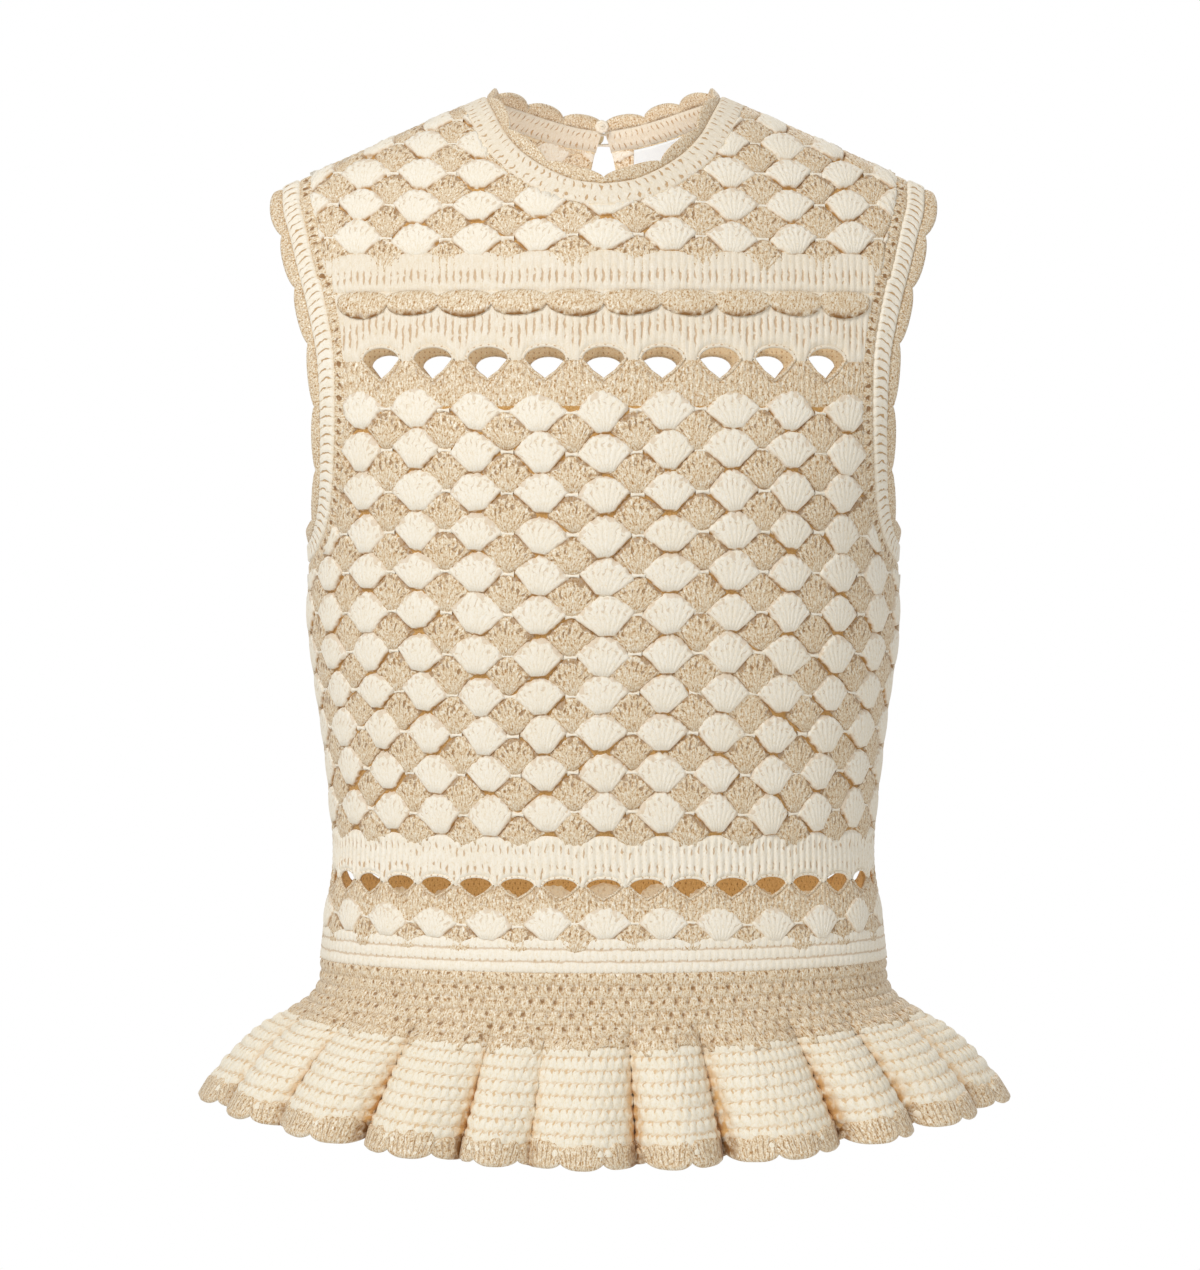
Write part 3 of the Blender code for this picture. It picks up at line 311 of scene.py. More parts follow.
# ---------------------------------------------------------------- edge lines
NECK_FRONT = (
    (0.0, -55.0), (15.0, -52.8), (27.0, -47.8), (38.0, -41.0),
    (46.0, -34.0), (53.0, -24.5), (58.0, -15.0), (61.0, -8.8), (62.5, -5.2),
)
NECK_BACK = (
    (0.0, -19.5), (16.0, -17.0), (30.0, -13.6), (47.0, -8.6), (57.0, -6.0), (62.5, -5.2),
)
NECK_POINTS = 336
ARMHOLE_POINTS = 378
ARMHOLE_RIM = (
    (177.0, -56.6), (175.5, -69.0), (171.5, -82.0), (166.5, -100.0), (162.0, -116.0),
    (158.0, -132.0), (154.5, -150.0), (152.5, -179.0), (152.3, -209.0), (153.6, -225.0),
    (156.0, -235.0), (158.6, -240.0),
)


def dense_line(rows: tuple, side: Side, level_ends: tuple) -> Array:
    """Many surface points along a table of half widths and heights.

    Args:
        rows: half widths and heights, in millimetres.
        side: front or back.
        level_ends: places in the line whose y is 0.

    Returns:
        The points, in order.
    """
    widths, heights = columns_of(rows, MM)
    marks = np.arange(len(rows), dtype=float)
    fine = np.linspace(0, len(rows) - 1, 40 * (len(rows) - 1) + 1)
    x = smooth_read(marks, widths, fine)
    z = np.minimum(smooth_read(marks, heights, fine), BODY.crest(x))
    points = BODY.point(np.minimum(x, BODY.half_width(z)), z, side)
    for end in level_ends:
        points[end][1] = 0.0
    return points


def even_points(points: Array, segments: int) -> Array:
    """Points an equal length apart along a dense line."""
    lengths = path_lengths(points)
    wanted = np.linspace(0, lengths[-1], segments + 1)
    return np.stack([np.interp(wanted, lengths, points[:, i]) for i in range(3)], axis=-1)


class EdgeLine:
    """A line on the body's surface, with offsets to one side of it."""

    def __init__(self, places: list, sides: list, kinds: list, closed: bool) -> None:
        """Hold the line's points and work out which way its offsets go."""
        self.places = np.array(places)
        self.sides = np.array(sides, dtype=float)
        self.kinds = np.array(kinds)
        self.closed = closed
        for k, kind in enumerate(kinds):
            x, _, z = self.places[k]
            if kind == "crest":
                self.places[k] = (x, 0.0, float(BODY.crest(x)))
            elif kind == "side":
                self.places[k] = (float(BODY.half_width(z)) * np.sign(x), 0.0, z)
            else:
                self.places[k] = BODY.point(x, z, self.sides[k])
        self.normals = self._normals(self.places)
        ahead = np.roll(self.places, -1, axis=0)
        behind = np.roll(self.places, 1, axis=0)
        if not closed:
            ahead[-1], behind[0] = self.places[-1], self.places[0]
        self.outward = unit(np.cross(self.normals, ahead - behind))
        away = np.sum(self.outward * (self.places - self.places.mean(axis=0)), axis=1)
        self.outward[away < 0] *= -1

    def _normals(self, places: Array) -> Array:
        """Outward directions of the body at points on the line."""
        x, z = places[..., 0], places[..., 2]
        normals = BODY.normal(x, z, np.broadcast_to(self.sides, x.shape))
        slope = BODY.crest_slope * x / np.hypot(x, BODY.crest_round)
        over = unit(joined(slope, np.zeros_like(x), np.ones_like(x)))
        near = (BODY.crest(x) - z < 0.01 * MM)[..., None]
        step = BODY.slope_step
        widening = (BODY.half_width(z + step) - BODY.half_width(z - step)) / (2 * step)
        beside = unit(joined(np.sign(x), np.zeros_like(x), -widening))
        flat = (BODY.half_width(z) - np.abs(x) < 0.001 * MM)[..., None]
        return np.where(near, over, np.where(flat, beside, normals))

    def offset(self, distance: Array) -> tuple[Array, Array]:
        """Points and normals at distances from the line, along the surface."""
        moved = self.places + self.outward * np.asarray(distance)[..., None]
        x, y, z = moved[..., 0], moved[..., 1], moved[..., 2]
        side = np.broadcast_to(self.sides, x.shape)
        steep = BODY.crest(x) - z > BODY.steep_below
        full = np.maximum(BODY.full_depth(x, z, side), 1e-9)
        stretch = np.sqrt((x / BODY.half_width(z)) ** 2 + y**2 / full)
        x = np.where(steep, x / np.maximum(stretch, 1e-6), x)
        points = BODY.point(x, np.minimum(z, BODY.crest(x)), side)
        crest = np.broadcast_to(self.kinds == "crest", x.shape)
        points[crest] = joined(x, 0 * x, BODY.crest(x))[crest]
        beside = np.broadcast_to(self.kinds == "side", x.shape)
        edge = BODY.half_width(z) * np.sign(x)
        points[beside] = joined(edge, 0 * x, z)[beside]
        return points, self._normals(points)


def armhole_line(points: int) -> EdgeLine:
    """Closed rim of the +X armhole: shoulder, front, underarm, back."""
    places, sides, kinds = [], [], []
    for side in Side:
        line = even_points(dense_line(ARMHOLE_RIM, side, (0, -1)), points // 2)
        line = line[::-1] if side == Side.BACK else line
        places += list(line[:-1])
        sides += [side] * (len(line) - 1)
        kinds += ["crest" if side == Side.FRONT else "side"] + ["open"] * (len(line) - 2)
    return EdgeLine(places, sides, kinds, True)


def neck_line(points: int) -> EdgeLine:
    """Open neck line: from the slit, along the +X back, the front, to the -X back."""
    back = even_points(dense_line(NECK_BACK, Side.BACK, (-1,)), points // 4)
    front = even_points(dense_line(NECK_FRONT, Side.FRONT, (-1,)), points // 4)
    half = [(p, Side.BACK, "open") for p in back[:-1]]
    half += [(front[-1], Side.FRONT, "crest")]
    half += [(p, Side.FRONT, "open") for p in front[-2:0:-1]]
    other = [(p * (-1.0, 1.0, 1.0), side, kind) for p, side, kind in reversed(half)]
    whole = half + [(front[0], Side.FRONT, "open")] + other
    places, sides, kinds = zip(*whole)
    return EdgeLine(list(places), list(sides), list(kinds), False)


# ---------------------------------------------------------------- colours and yarns
def linear(code: str) -> tuple[float, float, float, float]:
    """Linear colour of an sRGB hex value."""
    found = []
    for start in (1, 3, 5):
        value = int(code[start : start + 2], 16) / 255
        found.append(value / 12.92 if value <= 0.04045 else ((value + 0.055) / 1.055) ** 2.4)
    return found[0], found[1], found[2], 1.0


def add_node(tree: Tree, kind: str, links: dict, **settings) -> bpy.types.Node:
    """Add a node with its settings and links.

    Args:
        tree: the node tree.
        kind: the node's type.
        links: what each input takes, a socket or a value, by its name or place.
        settings: the node's own settings; stops fills a colour ramp.

    Returns:
        The new node.
    """
    node = tree.nodes.new(kind)
    for place, (position, colour) in enumerate(settings.pop("stops", ())):
        elements = node.color_ramp.elements
        element = elements[place] if place < 2 else elements.new(position)
        element.position, element.color = position, colour
    for name, value in settings.items():
        setattr(node, name, value)
    fill(node, links)
    return node


def fill(node: bpy.types.Node, links: dict) -> None:
    """Give a node's inputs their sockets or values; None leaves one as it is."""
    for name, value in links.items():
        if isinstance(value, Socket):
            node.id_data.links.new(value, node.inputs[name])
        elif value is not None:
            node.inputs[name].default_value = value


def add_mix(tree: Tree, factor, first, second, **settings) -> Socket:
    """Mix of two colours, each a socket or a value."""
    links = {"Factor": factor, "A": first, "B": second}
    return add_node(tree, "ShaderNodeMix", links, data_type="RGBA", **settings).outputs["Result"]


def add_noise(tree: Tree, place: Socket, scale: float, detail: float,
              roughness: float = 0.5) -> Socket:
    """Cloudy noise, 0 to 1."""
    links = {"Vector": place, "Scale": scale, "Detail": detail, "Roughness": roughness}
    return add_node(tree, "ShaderNodeTexNoise", links).outputs[0]


def new_material(name: str) -> tuple[Material, Tree, bpy.types.Node]:
    """A material, its node tree and its shader."""
    material = bpy.data.materials.new(name)
    material.use_nodes = True
    return material, material.node_tree, material.node_tree.nodes["Principled BSDF"]


def new_object(name: str, data: bpy.types.ID) -> Thing:
    """An object of the scene."""
    thing = bpy.data.objects.new(name, data)
    bpy.context.scene.collection.objects.link(thing)
    return thing


@dataclass(frozen=True)
class Gaps:
    """Where a stitch leaves gaps, in strands across and rows up.

    pitch and rise give the strand's and the row's real size in millimetres. The
    gaps, the dark lines between rows, the dark top edges of rows and the grooves
    between strands are painted shade.
    """

    pitch: float
    rise: float
    centre: float = 0.5
    half_width: float = 0.2
    half_height: float = 0.2
    chance: float = 0.5
    strength: float = 1.0
    brick: float = 0.0
    line: float = 0.0
    groove: float = 0.3
    brim: float = 0.0
    wander: float = 1.0
    row_wander: float = 0.3


class Stitch(Enum):
    """How the yarn is worked, with the gaps that this leaves."""

    SHELL = Gaps(3.0, 19.0, 0.76, 0.17, 0.10, 0.6, 0.3, groove=0.27, brim=0.3, wander=2.2)
    SHELL_UNDER = Gaps(3.0, 19.0, 0.76, 0.22, 0.12, 0.42, 0.7, groove=0.2, brim=0.6, wander=1.8)
    TREBLE = Gaps(4.0, 15.0, 0.38, 0.19, 0.2, 0.75, 0.6, groove=0.15, wander=0.6)
    DOUBLE = Gaps(4.0, 9.0, 0.45, 0.15, 0.25, 0.6, 0.65, groove=0.2, brick=0.5, wander=0.7)
    SINGLE = Gaps(4.2, 6.0, 0.08, 0.18, 0.14, 0.5, 0.6, brick=0.5, line=0.45, groove=0.2)
    BORDER = Gaps(3.8, 7.0, 0.50, 0.14, 0.30, 0.75, 0.75, brick=0.5, groove=0.35)
    CROSSED = Gaps(5.1, 8.4, 0.50, 0.13, 0.42, 0.85, 0.8, groove=0.55, wander=0.6)
    HOLED = Gaps(7.0, 6.9, 0.30, 0.14, 0.16, 0.6, 0.8, brick=0.5, line=0.2, groove=0.2)
    ROUND_HOLES = Gaps(5.4, 8.2, 0.50, 0.24, 0.22, 0.6, 0.9, groove=0.3)
    POSTS = Gaps(5.0, 7.2, 0.08, 0.21, 0.22, 0.8, 0.65, line=0.34, groove=0.38, wander=1.2)
    FANNED = Gaps(3.1, 15.0, 0.5, 0.15, 0.40, 0.6, 0.4, groove=0.3, wander=0.6)
    PLAIN = Gaps(3.0, 12.0, 0.50, 0.01, 0.01, 0.0, groove=0.15)


@dataclass(frozen=True)
class Yarn:
    """What every yarn has: its colours, how rough it is and how its fibres lie."""

    light: str
    middle: str
    deep: str
    # colour of the painted shade in the gaps and along shaded rims and valleys
    gap: str
    roughness: float
    tint: tuple
    bump: float
    fleck_mm: float = 0.9

    def stops(self) -> tuple:
        """Colours by the brightness of the fibres, the two ends first."""
        return (0.30, self.deep), (0.68, self.light), (0.46, self.middle)

    def colour(self, tree: Tree, fibre: Socket, cloud: Socket) -> Socket:
        """The yarn's colour, a little deeper in some places than in others."""
        stops = [(position, linear(code)) for position, code in self.stops()]
        ramp = add_node(tree, "ShaderNodeValToRGB", {0: fibre}, stops=stops)
        tint = add_mix(tree, cloud, (1.0, 1.0, 1.0, 1.0), self.tint)
        return add_mix(tree, 1.0, ramp.outputs[0], tint, blend_type="MULTIPLY")

    def metal(self, tree: Tree, fibre: Socket) -> None:
        """No metal in a plain yarn."""


@dataclass(frozen=True)
class CottonYarn(Yarn):
    """Mercerised cotton, spun of 3 plies and dyed cream: smooth, soft and matt.

    The plies show as fine lines along each strand, under 1 mm apart, and the
    lightest fibres stand proud of them.
    """

    light: str = "#FFFCF5"
    middle: str = "#FAF3E5"
    deep: str = "#ECDDC1"
    # painted shade in the gaps
    gap: str = "#BF9052"
    roughness: float = 0.85
    tint: tuple = (0.965, 0.93, 0.87, 1.0)
    bump: float = 0.5


@dataclass(frozen=True)
class LurexYarn(Yarn):
    """Beige cotton plied with a flat gold film: a heather of matt and bright flecks.

    The film turns over every 1 to 2 mm, so specks of cream, beige and brown
    lie side by side and the brightest of them glint.
    """

    light: str = "#FFFCF3"
    middle: str = "#E8D6B9"
    deep: str = "#AA7A42"
    # painted shade in the gaps
    gap: str = "#93652E"
    roughness: float = 0.62
    tint: tuple = (0.95, 0.92, 0.87, 1.0)
    bump: float = 0.6

    def stops(self) -> tuple:
        """Heather of brown, beige and cream flecks, the two ends first."""
        ends = (0.37, self.deep), (0.63, self.light)
        return *ends, (0.43, "#D3B48B"), (0.50, self.middle), (0.57, "#F4E8D3")

    def metal(self, tree: Tree, fibre: Socket) -> Socket:
        """The film's share: only the brightest flecks are metal."""
        links = {"Value": fibre, "From Min": 0.58, "From Max": 0.66, "To Max": 0.55}
        return add_node(tree, "ShaderNodeMapRange", links).outputs[0]


@dataclass
class YarnMaterials:
    """Materials of the yarns, one for each way that they are worked."""

    made: dict = field(default_factory=dict)

    def get(self, yarn: Yarn, stitch: Stitch, name: str) -> Material:
        """The material of a yarn worked in a stitch, made once."""
        key = (name, stitch.name)
        if key not in self.made:
            self.made[key] = self._make(yarn, stitch.value, f"{name}_{stitch.name.lower()}")
        return self.made[key]

    def _make(self, yarn: Yarn, gaps: Gaps, name: str) -> Material:
        """Make one yarn material.

        Args:
            yarn: the yarn's finish.
            gaps: where the stitch leaves gaps.
            name: the material's name.

        Returns:
            The material.
        """
        material, tree, shader = new_material(name)
        place = add_node(tree, "ShaderNodeTexCoord", {}).outputs["Object"]
        strand = add_node(tree, "ShaderNodeUVMap", {}, uv_map="strands").outputs[0]
        split = add_node(tree, "ShaderNodeSeparateXYZ", {0: strand})

        def calc(operation: str, *values, clamp: bool = False) -> Socket:
            """Output of one sum on sockets or numbers."""
            inputs = dict(enumerate(values))
            settings = {"operation": operation, "use_clamp": clamp}
            return add_node(tree, "ShaderNodeMath", inputs, **settings).outputs[0]

        def fade(value: Socket, low: float, high: float, most: float = 1.0,
                 kind: str = "SMOOTHSTEP") -> Socket:
            """Rise from 0 to most as a value goes from low to high."""
            links = {"Value": value, "From Min": low, "From Max": high, "To Max": most}
            return add_node(tree, "ShaderNodeMapRange", links, interpolation_type=kind).outputs[0]

        chance = add_noise(tree, place, 260.0, 1.0)
        drift = calc("MULTIPLY", calc("SUBTRACT", chance, 0.5), gaps.wander)
        along = calc("ADD", split.outputs[0], drift)
        row = calc("MULTIPLY_ADD", drift, gaps.row_wander, split.outputs[1])
        shifted = calc("MULTIPLY_ADD", calc("FLOOR", row), gaps.brick, along)
        across = calc("SUBTRACT", calc("FRACT", calc("ADD", shifted, 0.5)), 0.5)
        up = calc("SUBTRACT", calc("FRACT", row), gaps.centre)
        wide = calc("POWER", calc("ABSOLUTE", calc("DIVIDE", across, gaps.half_width)), 2.0)
        tall = calc("POWER", calc("ABSOLUTE", calc("DIVIDE", up, gaps.half_height)), 2.0)
        # Painted shade: the stitch's gaps, the lines between rows and the top edges of rows are
        # mixed to the yarn's gap colour below.
        gap_shape = fade(calc("ADD", wide, tall), 1.0, 0.35)
        level = 0.62 - 0.30 * gaps.chance
        open_here = fade(chance, level - 0.06, level + 0.06, kind="LINEAR")
        gap = calc("MULTIPLY", calc("MULTIPLY", gap_shape, open_here), gaps.strength)
        if gaps.line:
            edge = calc("ABSOLUTE", calc("SUBTRACT", calc("FRACT", calc("ADD", row, 0.5)), 0.5))
            gap = calc("MAXIMUM", gap, fade(edge, 0.13, 0.02, gaps.line))
        if gaps.brim:
            rough = calc("MULTIPLY_ADD", chance, -0.09, 1.0)
            gap = calc("MAXIMUM", gap, fade(calc("SUBTRACT", row, rough), -0.035, 0.0, gaps.brim))
        # Painted shade in the grooves between strands, towards the yarn's deep colour.
        groove = fade(calc("ABSOLUTE", across), 0.16, 0.0, gaps.groove)

        stretch = add_node(tree, "ShaderNodeMapping", {
            "Vector": strand,
            "Scale": (gaps.pitch / yarn.fleck_mm, gaps.rise / (2.8 * yarn.fleck_mm), 1.0),
        })
        hairs = add_noise(tree, stretch.outputs[0], 1.0, 2.0, 0.6)
        flecks = add_noise(tree, place, 1.0 / (yarn.fleck_mm * MM), 2.0, 0.6)
        fibre = calc("ADD", calc("MULTIPLY", hairs, 0.55), calc("MULTIPLY", flecks, 0.45))
        colour = yarn.colour(tree, fibre, add_noise(tree, place, 45.0, 2.0))
        # Painted shade stored in the mesh's shade map: shell rims, flute valleys, holes and the
        # trim's lower edge, broken up by noise.
        shade = add_node(tree, "ShaderNodeUVMap", {}, uv_map="shade").outputs[0]
        shade = add_node(tree, "ShaderNodeSeparateXYZ", {0: shade}).outputs[0]
        broken = calc("MULTIPLY_ADD", chance, 3.4, -1.1, clamp=True)
        painted_shade = calc("MAXIMUM", gap, calc("MULTIPLY", shade, broken))
        shaded = add_mix(tree, groove, colour, linear(yarn.deep))
        height = calc("SUBTRACT", fibre, calc("ADD", gap, groove))
        bump = add_node(tree, "ShaderNodeBump", {
            "Height": height, "Strength": yarn.bump, "Distance": 0.6 * MM,
        })
        # The base colour has all the painted shade mixed in.
        fill(shader, {
            "Base Color": add_mix(tree, painted_shade, shaded, linear(yarn.gap)),
            "Metallic": yarn.metal(tree, fibre), "Roughness": yarn.roughness,
            "Sheen Weight": 0.15, "Sheen Roughness": 0.5, "Normal": bump.outputs[0],
        })
        return material


YARNS = YarnMaterials()


def cream(stitch: Stitch) -> Material:
    """Cream cotton worked in a stitch; the bands' posts are pulled tighter, and their darker cream
    is painted shade.
    """
    band_shade = stitch in (Stitch.TREBLE, Stitch.BORDER)
    yarn = CottonYarn(light="#FBF6EC", middle="#F2E8D7") if band_shade else CottonYarn()
    return YARNS.get(yarn, stitch, "cream_cotton")


def ruffle_cream() -> Material:
    """The same cotton in the loose ruffle, where light glows honey between the rows."""
    yarn = CottonYarn(light="#FEFBF2", middle="#F8F1E1", gap="#DCB074", deep="#EEDBB6")
    return YARNS.get(yarn, Stitch.POSTS, "cream_cotton_loose")


def gold(stitch: Stitch) -> Material:
    """Gold lurex yarn worked in a stitch."""
    return YARNS.get(LurexYarn(), stitch, "gold_lurex")


def honey(stitch: Stitch) -> Material:
    """Yarn bases deep between the stitches, painted as shade: dark and warm where light comes
    through.
    """
    yarn = CottonYarn(light="#DDB478", middle="#C39555", deep="#9A6C3A", gap="#7A5026")
    return YARNS.get(yarn, stitch, "painted_shade_base")


def lining(stitch: Stitch) -> Material:
    """Wrong side of the cloth, warm from the light that bounces about inside."""
    yarn = CottonYarn(light="#FBEFD9", middle="#F3DFBB", deep="#DFBC88", gap="#B98443")
    return YARNS.get(yarn, stitch, "warm_wrong_side")


def waist_lining(stitch: Stitch) -> Material:
    """Wrong side at the waist, where little light comes in and all of it is honey."""
    yarn = CottonYarn(light="#EAC78F", middle="#D8AE70", deep="#B68547", gap="#976628", bump=0.6)
    return YARNS.get(yarn, stitch, "honey_wrong_side")


# ---------------------------------------------------------------- meshes
class Stitchwork:
    """Points, faces and strand coordinates of one piece, gathered for its mesh."""

    def __init__(self) -> None:
        """Start with nothing."""
        self.points: list[Array] = []
        self.strands: list[Array] = []
        self.shades: list[Array] = []
        self.faces: list = []
        self.slots: list[int] = []
        self.count = 0

    def store(self, points: Array, strands: Array, shade: Array | float = 0.0) -> int:
        """Keep points, their strand coordinates and painted shade; the first one's number."""
        first = self.count
        self.points.append(points.reshape(-1, 3))
        self.strands.append(np.broadcast_to(strands, points.shape[:-1] + (2,)).reshape(-1, 2))
        self.shades.append(np.broadcast_to(shade, points.shape[:-1]).reshape(-1))
        self.count += len(self.points[-1])
        return first

    def keep(self, faces: Array, slot: int) -> None:
        """Keep faces of one material slot."""
        self.faces += faces.tolist()
        self.slots += [slot] * len(faces)

    def add_grid(self, points: Array, normals: Array, strands: Array, slot: int = 0,
                 closed: bool = False, shade: Array | float = 0.0,
                 lost: Array | None = None) -> None:
        """Add one or more grids of quads, facing the way of their normals.

        Args:
            points: rows by columns of points, or a stack of such grids.
            normals: outward directions there.
            strands: strand coordinates there.
            slot: material slot.
            closed: whether the last column meets the first.
            shade: painted shade at each point, 0 to 1, for how deep it lies between the stitches.
            lost: points past the cloth's edge; faces of only such points are left out.
        """
        stack = points if points.ndim == 4 else points[None]
        away = normals if normals.ndim == 4 else normals[None]
        number, rows, columns = stack.shape[:3]
        first = self.store(stack, strands, shade)
        r, c = np.meshgrid(np.arange(rows - 1), np.arange(columns - (not closed)), indexing="ij")
        after = (c + 1) % columns
        upper, lower = r * columns, (r + 1) * columns
        quads = joined(upper + c, upper + after, lower + after, lower + c).reshape(-1, 4)
        across = np.diff(stack, axis=2)[:, :-1]
        down = np.diff(stack, axis=1)[:, :, :-1]
        facing = np.sum(np.cross(across, down) * away[:, :-1, :-1], axis=(1, 2, 3))
        starts = first + np.arange(number) * rows * columns
        kept = np.ones((number, len(quads)), dtype=bool)
        if lost is not None:
            kept = ~lost.reshape(number, -1)[:, quads].all(axis=-1)
        for flip in (False, True):
            chosen = (facing < 0) == flip
            order = quads[:, ::-1] if flip else quads
            self.keep((starts[chosen, None, None] + order[None])[kept[chosen]], slot)

    def add_wall(self, outer: Array, inner: Array, strands: Array, normals: Array,
                 closed: bool, slot: int = 0, shade: Array | float = 0.0) -> None:
        """Add a closed wall between an outer and an inner grid of as many columns."""
        rows, columns = outer.shape[:2]
        under_rows = inner.shape[0]
        first = self.store(outer, strands, shade)
        picked = np.linspace(0, rows - 1, under_rows).round().astype(int)
        second = self.store(inner, strands[picked])
        across = np.diff(outer, axis=1)[:-1]
        down = np.diff(outer, axis=0)[:, :-1]
        flip = np.sum(np.cross(across, down) * normals[:-1, :-1]) < 0
        c = np.arange(columns - (not closed))
        after = (c + 1) % columns
        faces = []
        for start, count, turned in ((first, rows, False), (second, under_rows, True)):
            for r in range(count - 1):
                a, b = start + r * columns, start + (r + 1) * columns
                quad = joined(a + c, a + after, b + after, b + c)
                faces.append(quad[:, ::-1] if turned else quad)
        top, last = first, first + (rows - 1) * columns
        under, end = second, second + (under_rows - 1) * columns
        faces.append(joined(top + after, top + c, under + c, under + after))
        faces.append(joined(last + c, last + after, end + after, end + c))
        quads = np.concatenate(faces)
        self.keep(quads[:, ::-1] if flip else quads, slot)
        if not closed:
            for column, way in ((0, 1), (columns - 1, -1)):
                near = [first + r * columns + column for r in range(rows)]
                far = [second + r * columns + column for r in range(under_rows)]
                end_face = near + far[::-1]
                end_face = end_face[::-1] if (way < 0) != flip else end_face
                self.faces.append(end_face)
                self.slots.append(slot)

    def add_triangles(self, points: Array, strands: Array, faces: Array, slot: int = 0) -> int:
        """Add faces over points of their own; the first point's number."""
        first = self.store(points, strands)
        self.keep(np.asarray(faces) + first, slot)
        return first

    def build(self, name: str, materials: list, slot: str, replaces: tuple = ()) -> Thing:
        """Make the object, and set what it rides on and stands for.

        Args:
            name: the piece's name.
            materials: its materials, by slot number.
            slot: the record's material slot; not used.
            replaces: the frame's nodes that it stands for.

        Returns:
            The new object.
        """
        points = np.concatenate(self.points)
        mesh = bpy.data.meshes.new(name)
        mesh.from_pydata(points.tolist(), [], self.faces)
        layer = mesh.uv_layers.new(name="strands")
        corners = np.empty(len(mesh.loops), dtype=np.int32)
        mesh.loops.foreach_get("vertex_index", corners)
        strands = np.concatenate(self.strands).astype(np.float32)
        layer.data.foreach_set("uv", strands[corners].ravel())
        # The painted shade goes to the mesh as a second UV map.
        shades = np.concatenate(self.shades).astype(np.float32)
        shade_layer = mesh.uv_layers.new(name="shade")
        shade_layer.data.foreach_set("uv", np.repeat(shades[corners], 2))
        mesh.polygons.foreach_set("material_index", self.slots)
        mesh.shade_smooth()
        mesh.update()
        piece = new_object(name, mesh)
        for material in materials:
            mesh.materials.append(material)
        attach(piece, "root")
        if replaces:
            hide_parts(*replaces)
        triangles = sum(len(face) - 2 for face in self.faces)
        LOG.info("%s: %d points, %d triangles", name, len(points), triangles)
        return piece


# ---------------------------------------------------------------- flat outlines
class Outline:
    """Edge of a piece on the flat pattern, with tests and clipping against it."""

    def __init__(self, loop: list) -> None:
        """Hold the loop's points."""
        self.start = np.array(loop)
        self.edge = np.roll(self.start, -1, axis=0) - self.start

    def inside(self, flat: Array) -> Array:
        """Whether each flat point lies inside."""
        x, y = flat[:, None, 0], flat[:, None, 1]
        ax, ay = self.start[:, 0], self.start[:, 1]
        bx, by = ax + self.edge[:, 0], ay + self.edge[:, 1]
        tall = np.where(by == ay, 1e-12, by - ay)
        crossed = ((ay > y) != (by > y)) & (x < (bx - ax) * (y - ay) / tall + ax)
        return crossed.sum(axis=1) % 2 == 1

    def nearest(self, flat: Array) -> tuple[Array, Array]:
        """Nearest points of the loop, and the distances to them."""
        away = flat[:, None, :] - self.start
        along = np.sum(away * self.edge, axis=2) / np.sum(self.edge**2, axis=1)
        spot = self.start + self.edge * np.clip(along, 0, 1)[..., None]
        distance = np.linalg.norm(flat[:, None, :] - spot, axis=2)
        chosen = np.argmin(distance, axis=1)
        order = np.arange(len(flat))
        return spot[order, chosen], distance[order, chosen]

    def clip(self, flat: Array) -> Array:
        """The same flat points, those outside moved to the loop."""
        shape = flat.shape
        flat = flat.reshape(-1, 2).copy()
        outside = np.flatnonzero(~self.inside(flat))
        for part in np.array_split(outside, max(len(outside) // 4000, 1)):
            if len(part):
                flat[part] = self.nearest(flat[part])[0]
        return flat.reshape(shape)


# ---------------------------------------------------------------- shells
@dataclass(frozen=True)
class ShellForm:
    """One shell: a fan of strands from a blunt foot to an arched top."""

    half_width: float = 15.0 * MM
    top: float = 10.6 * MM
    peak: float = 2.0
    foot: float = 10.1 * MM
    foot_half: float = 4.0 * MM
    strands: int = 8
    samples: int = 4
    levels: tuple = (0.0, 0.07, 0.28, 0.55, 0.76, 0.88, 0.95, 1.0)
    height: float = 2.6 * MM
    rim: float = 0.5 * MM
    reach: float = 1.7 * MM
    crown: float = 0.6 * MM
    groove: float = 0.28 * MM
    frill: float = 0.5 * MM
    # strength of the painted shade along the shell's rim
    line: float = 1.9

    def template(self) -> tuple[Array, Array, Array, Array]:
        """Flat offsets, lifts, strand coordinates and shade of the fan's grid."""
        u = np.linspace(-1, 1, self.strands * self.samples + 1)[None, :]
        v = np.array(self.levels)[:, None]
        u, v = np.broadcast_arrays(u, v)
        spread = 0.65 * u + 0.35 * np.sin(u * math.pi / 2)
        x = (1 - v) * self.foot_half * u + v * self.half_width * spread
        share = (u + 1) / 2 * self.strands
        y = (1 - v) * -self.foot + v * self.top * (1 - np.abs(spread) ** self.peak)
        y = y - (1 - v) * 0.6 * MM * (1 - u**2) + v**6 * self.frill * (ridge(share, 2.0) - 0.5)
        beside = (1 - np.abs(u)) * (self.foot_half + (self.half_width - self.foot_half) * v)
        length = self.foot + self.top * (1 - np.abs(spread) ** self.peak)
        near = np.minimum(beside * 0.8, np.minimum(v * 19 * MM, (1 - v) * length * 1.3))
        profile = rounded(near, self.reach)
        lift = self.rim + (self.height - self.rim) * profile
        lift = lift + self.crown * (1 - u**2) * np.sin(math.pi * v) * profile
        cut = 1 - ridge(share, 2.0)
        fade = np.clip(v / 0.3, 0, 1) * np.clip((0.97 - v) / 0.05, 0.35, 1)
        lift = lift - self.groove * cut * fade * profile
        # Painted shade along the rim, where the shell sinks to the row beneath; faint on the top
        # arch.
        shade = self.line * (1 - profile) * np.where(v > 0.93, 0.15, 1.0)
        return joined(x, y), lift, joined(share, v), shade


@dataclass
class ShellRow:
    """Places of the shells in one row round the body, its rise and the size they share."""

    girths: Array
    rise: float
    scale: tuple


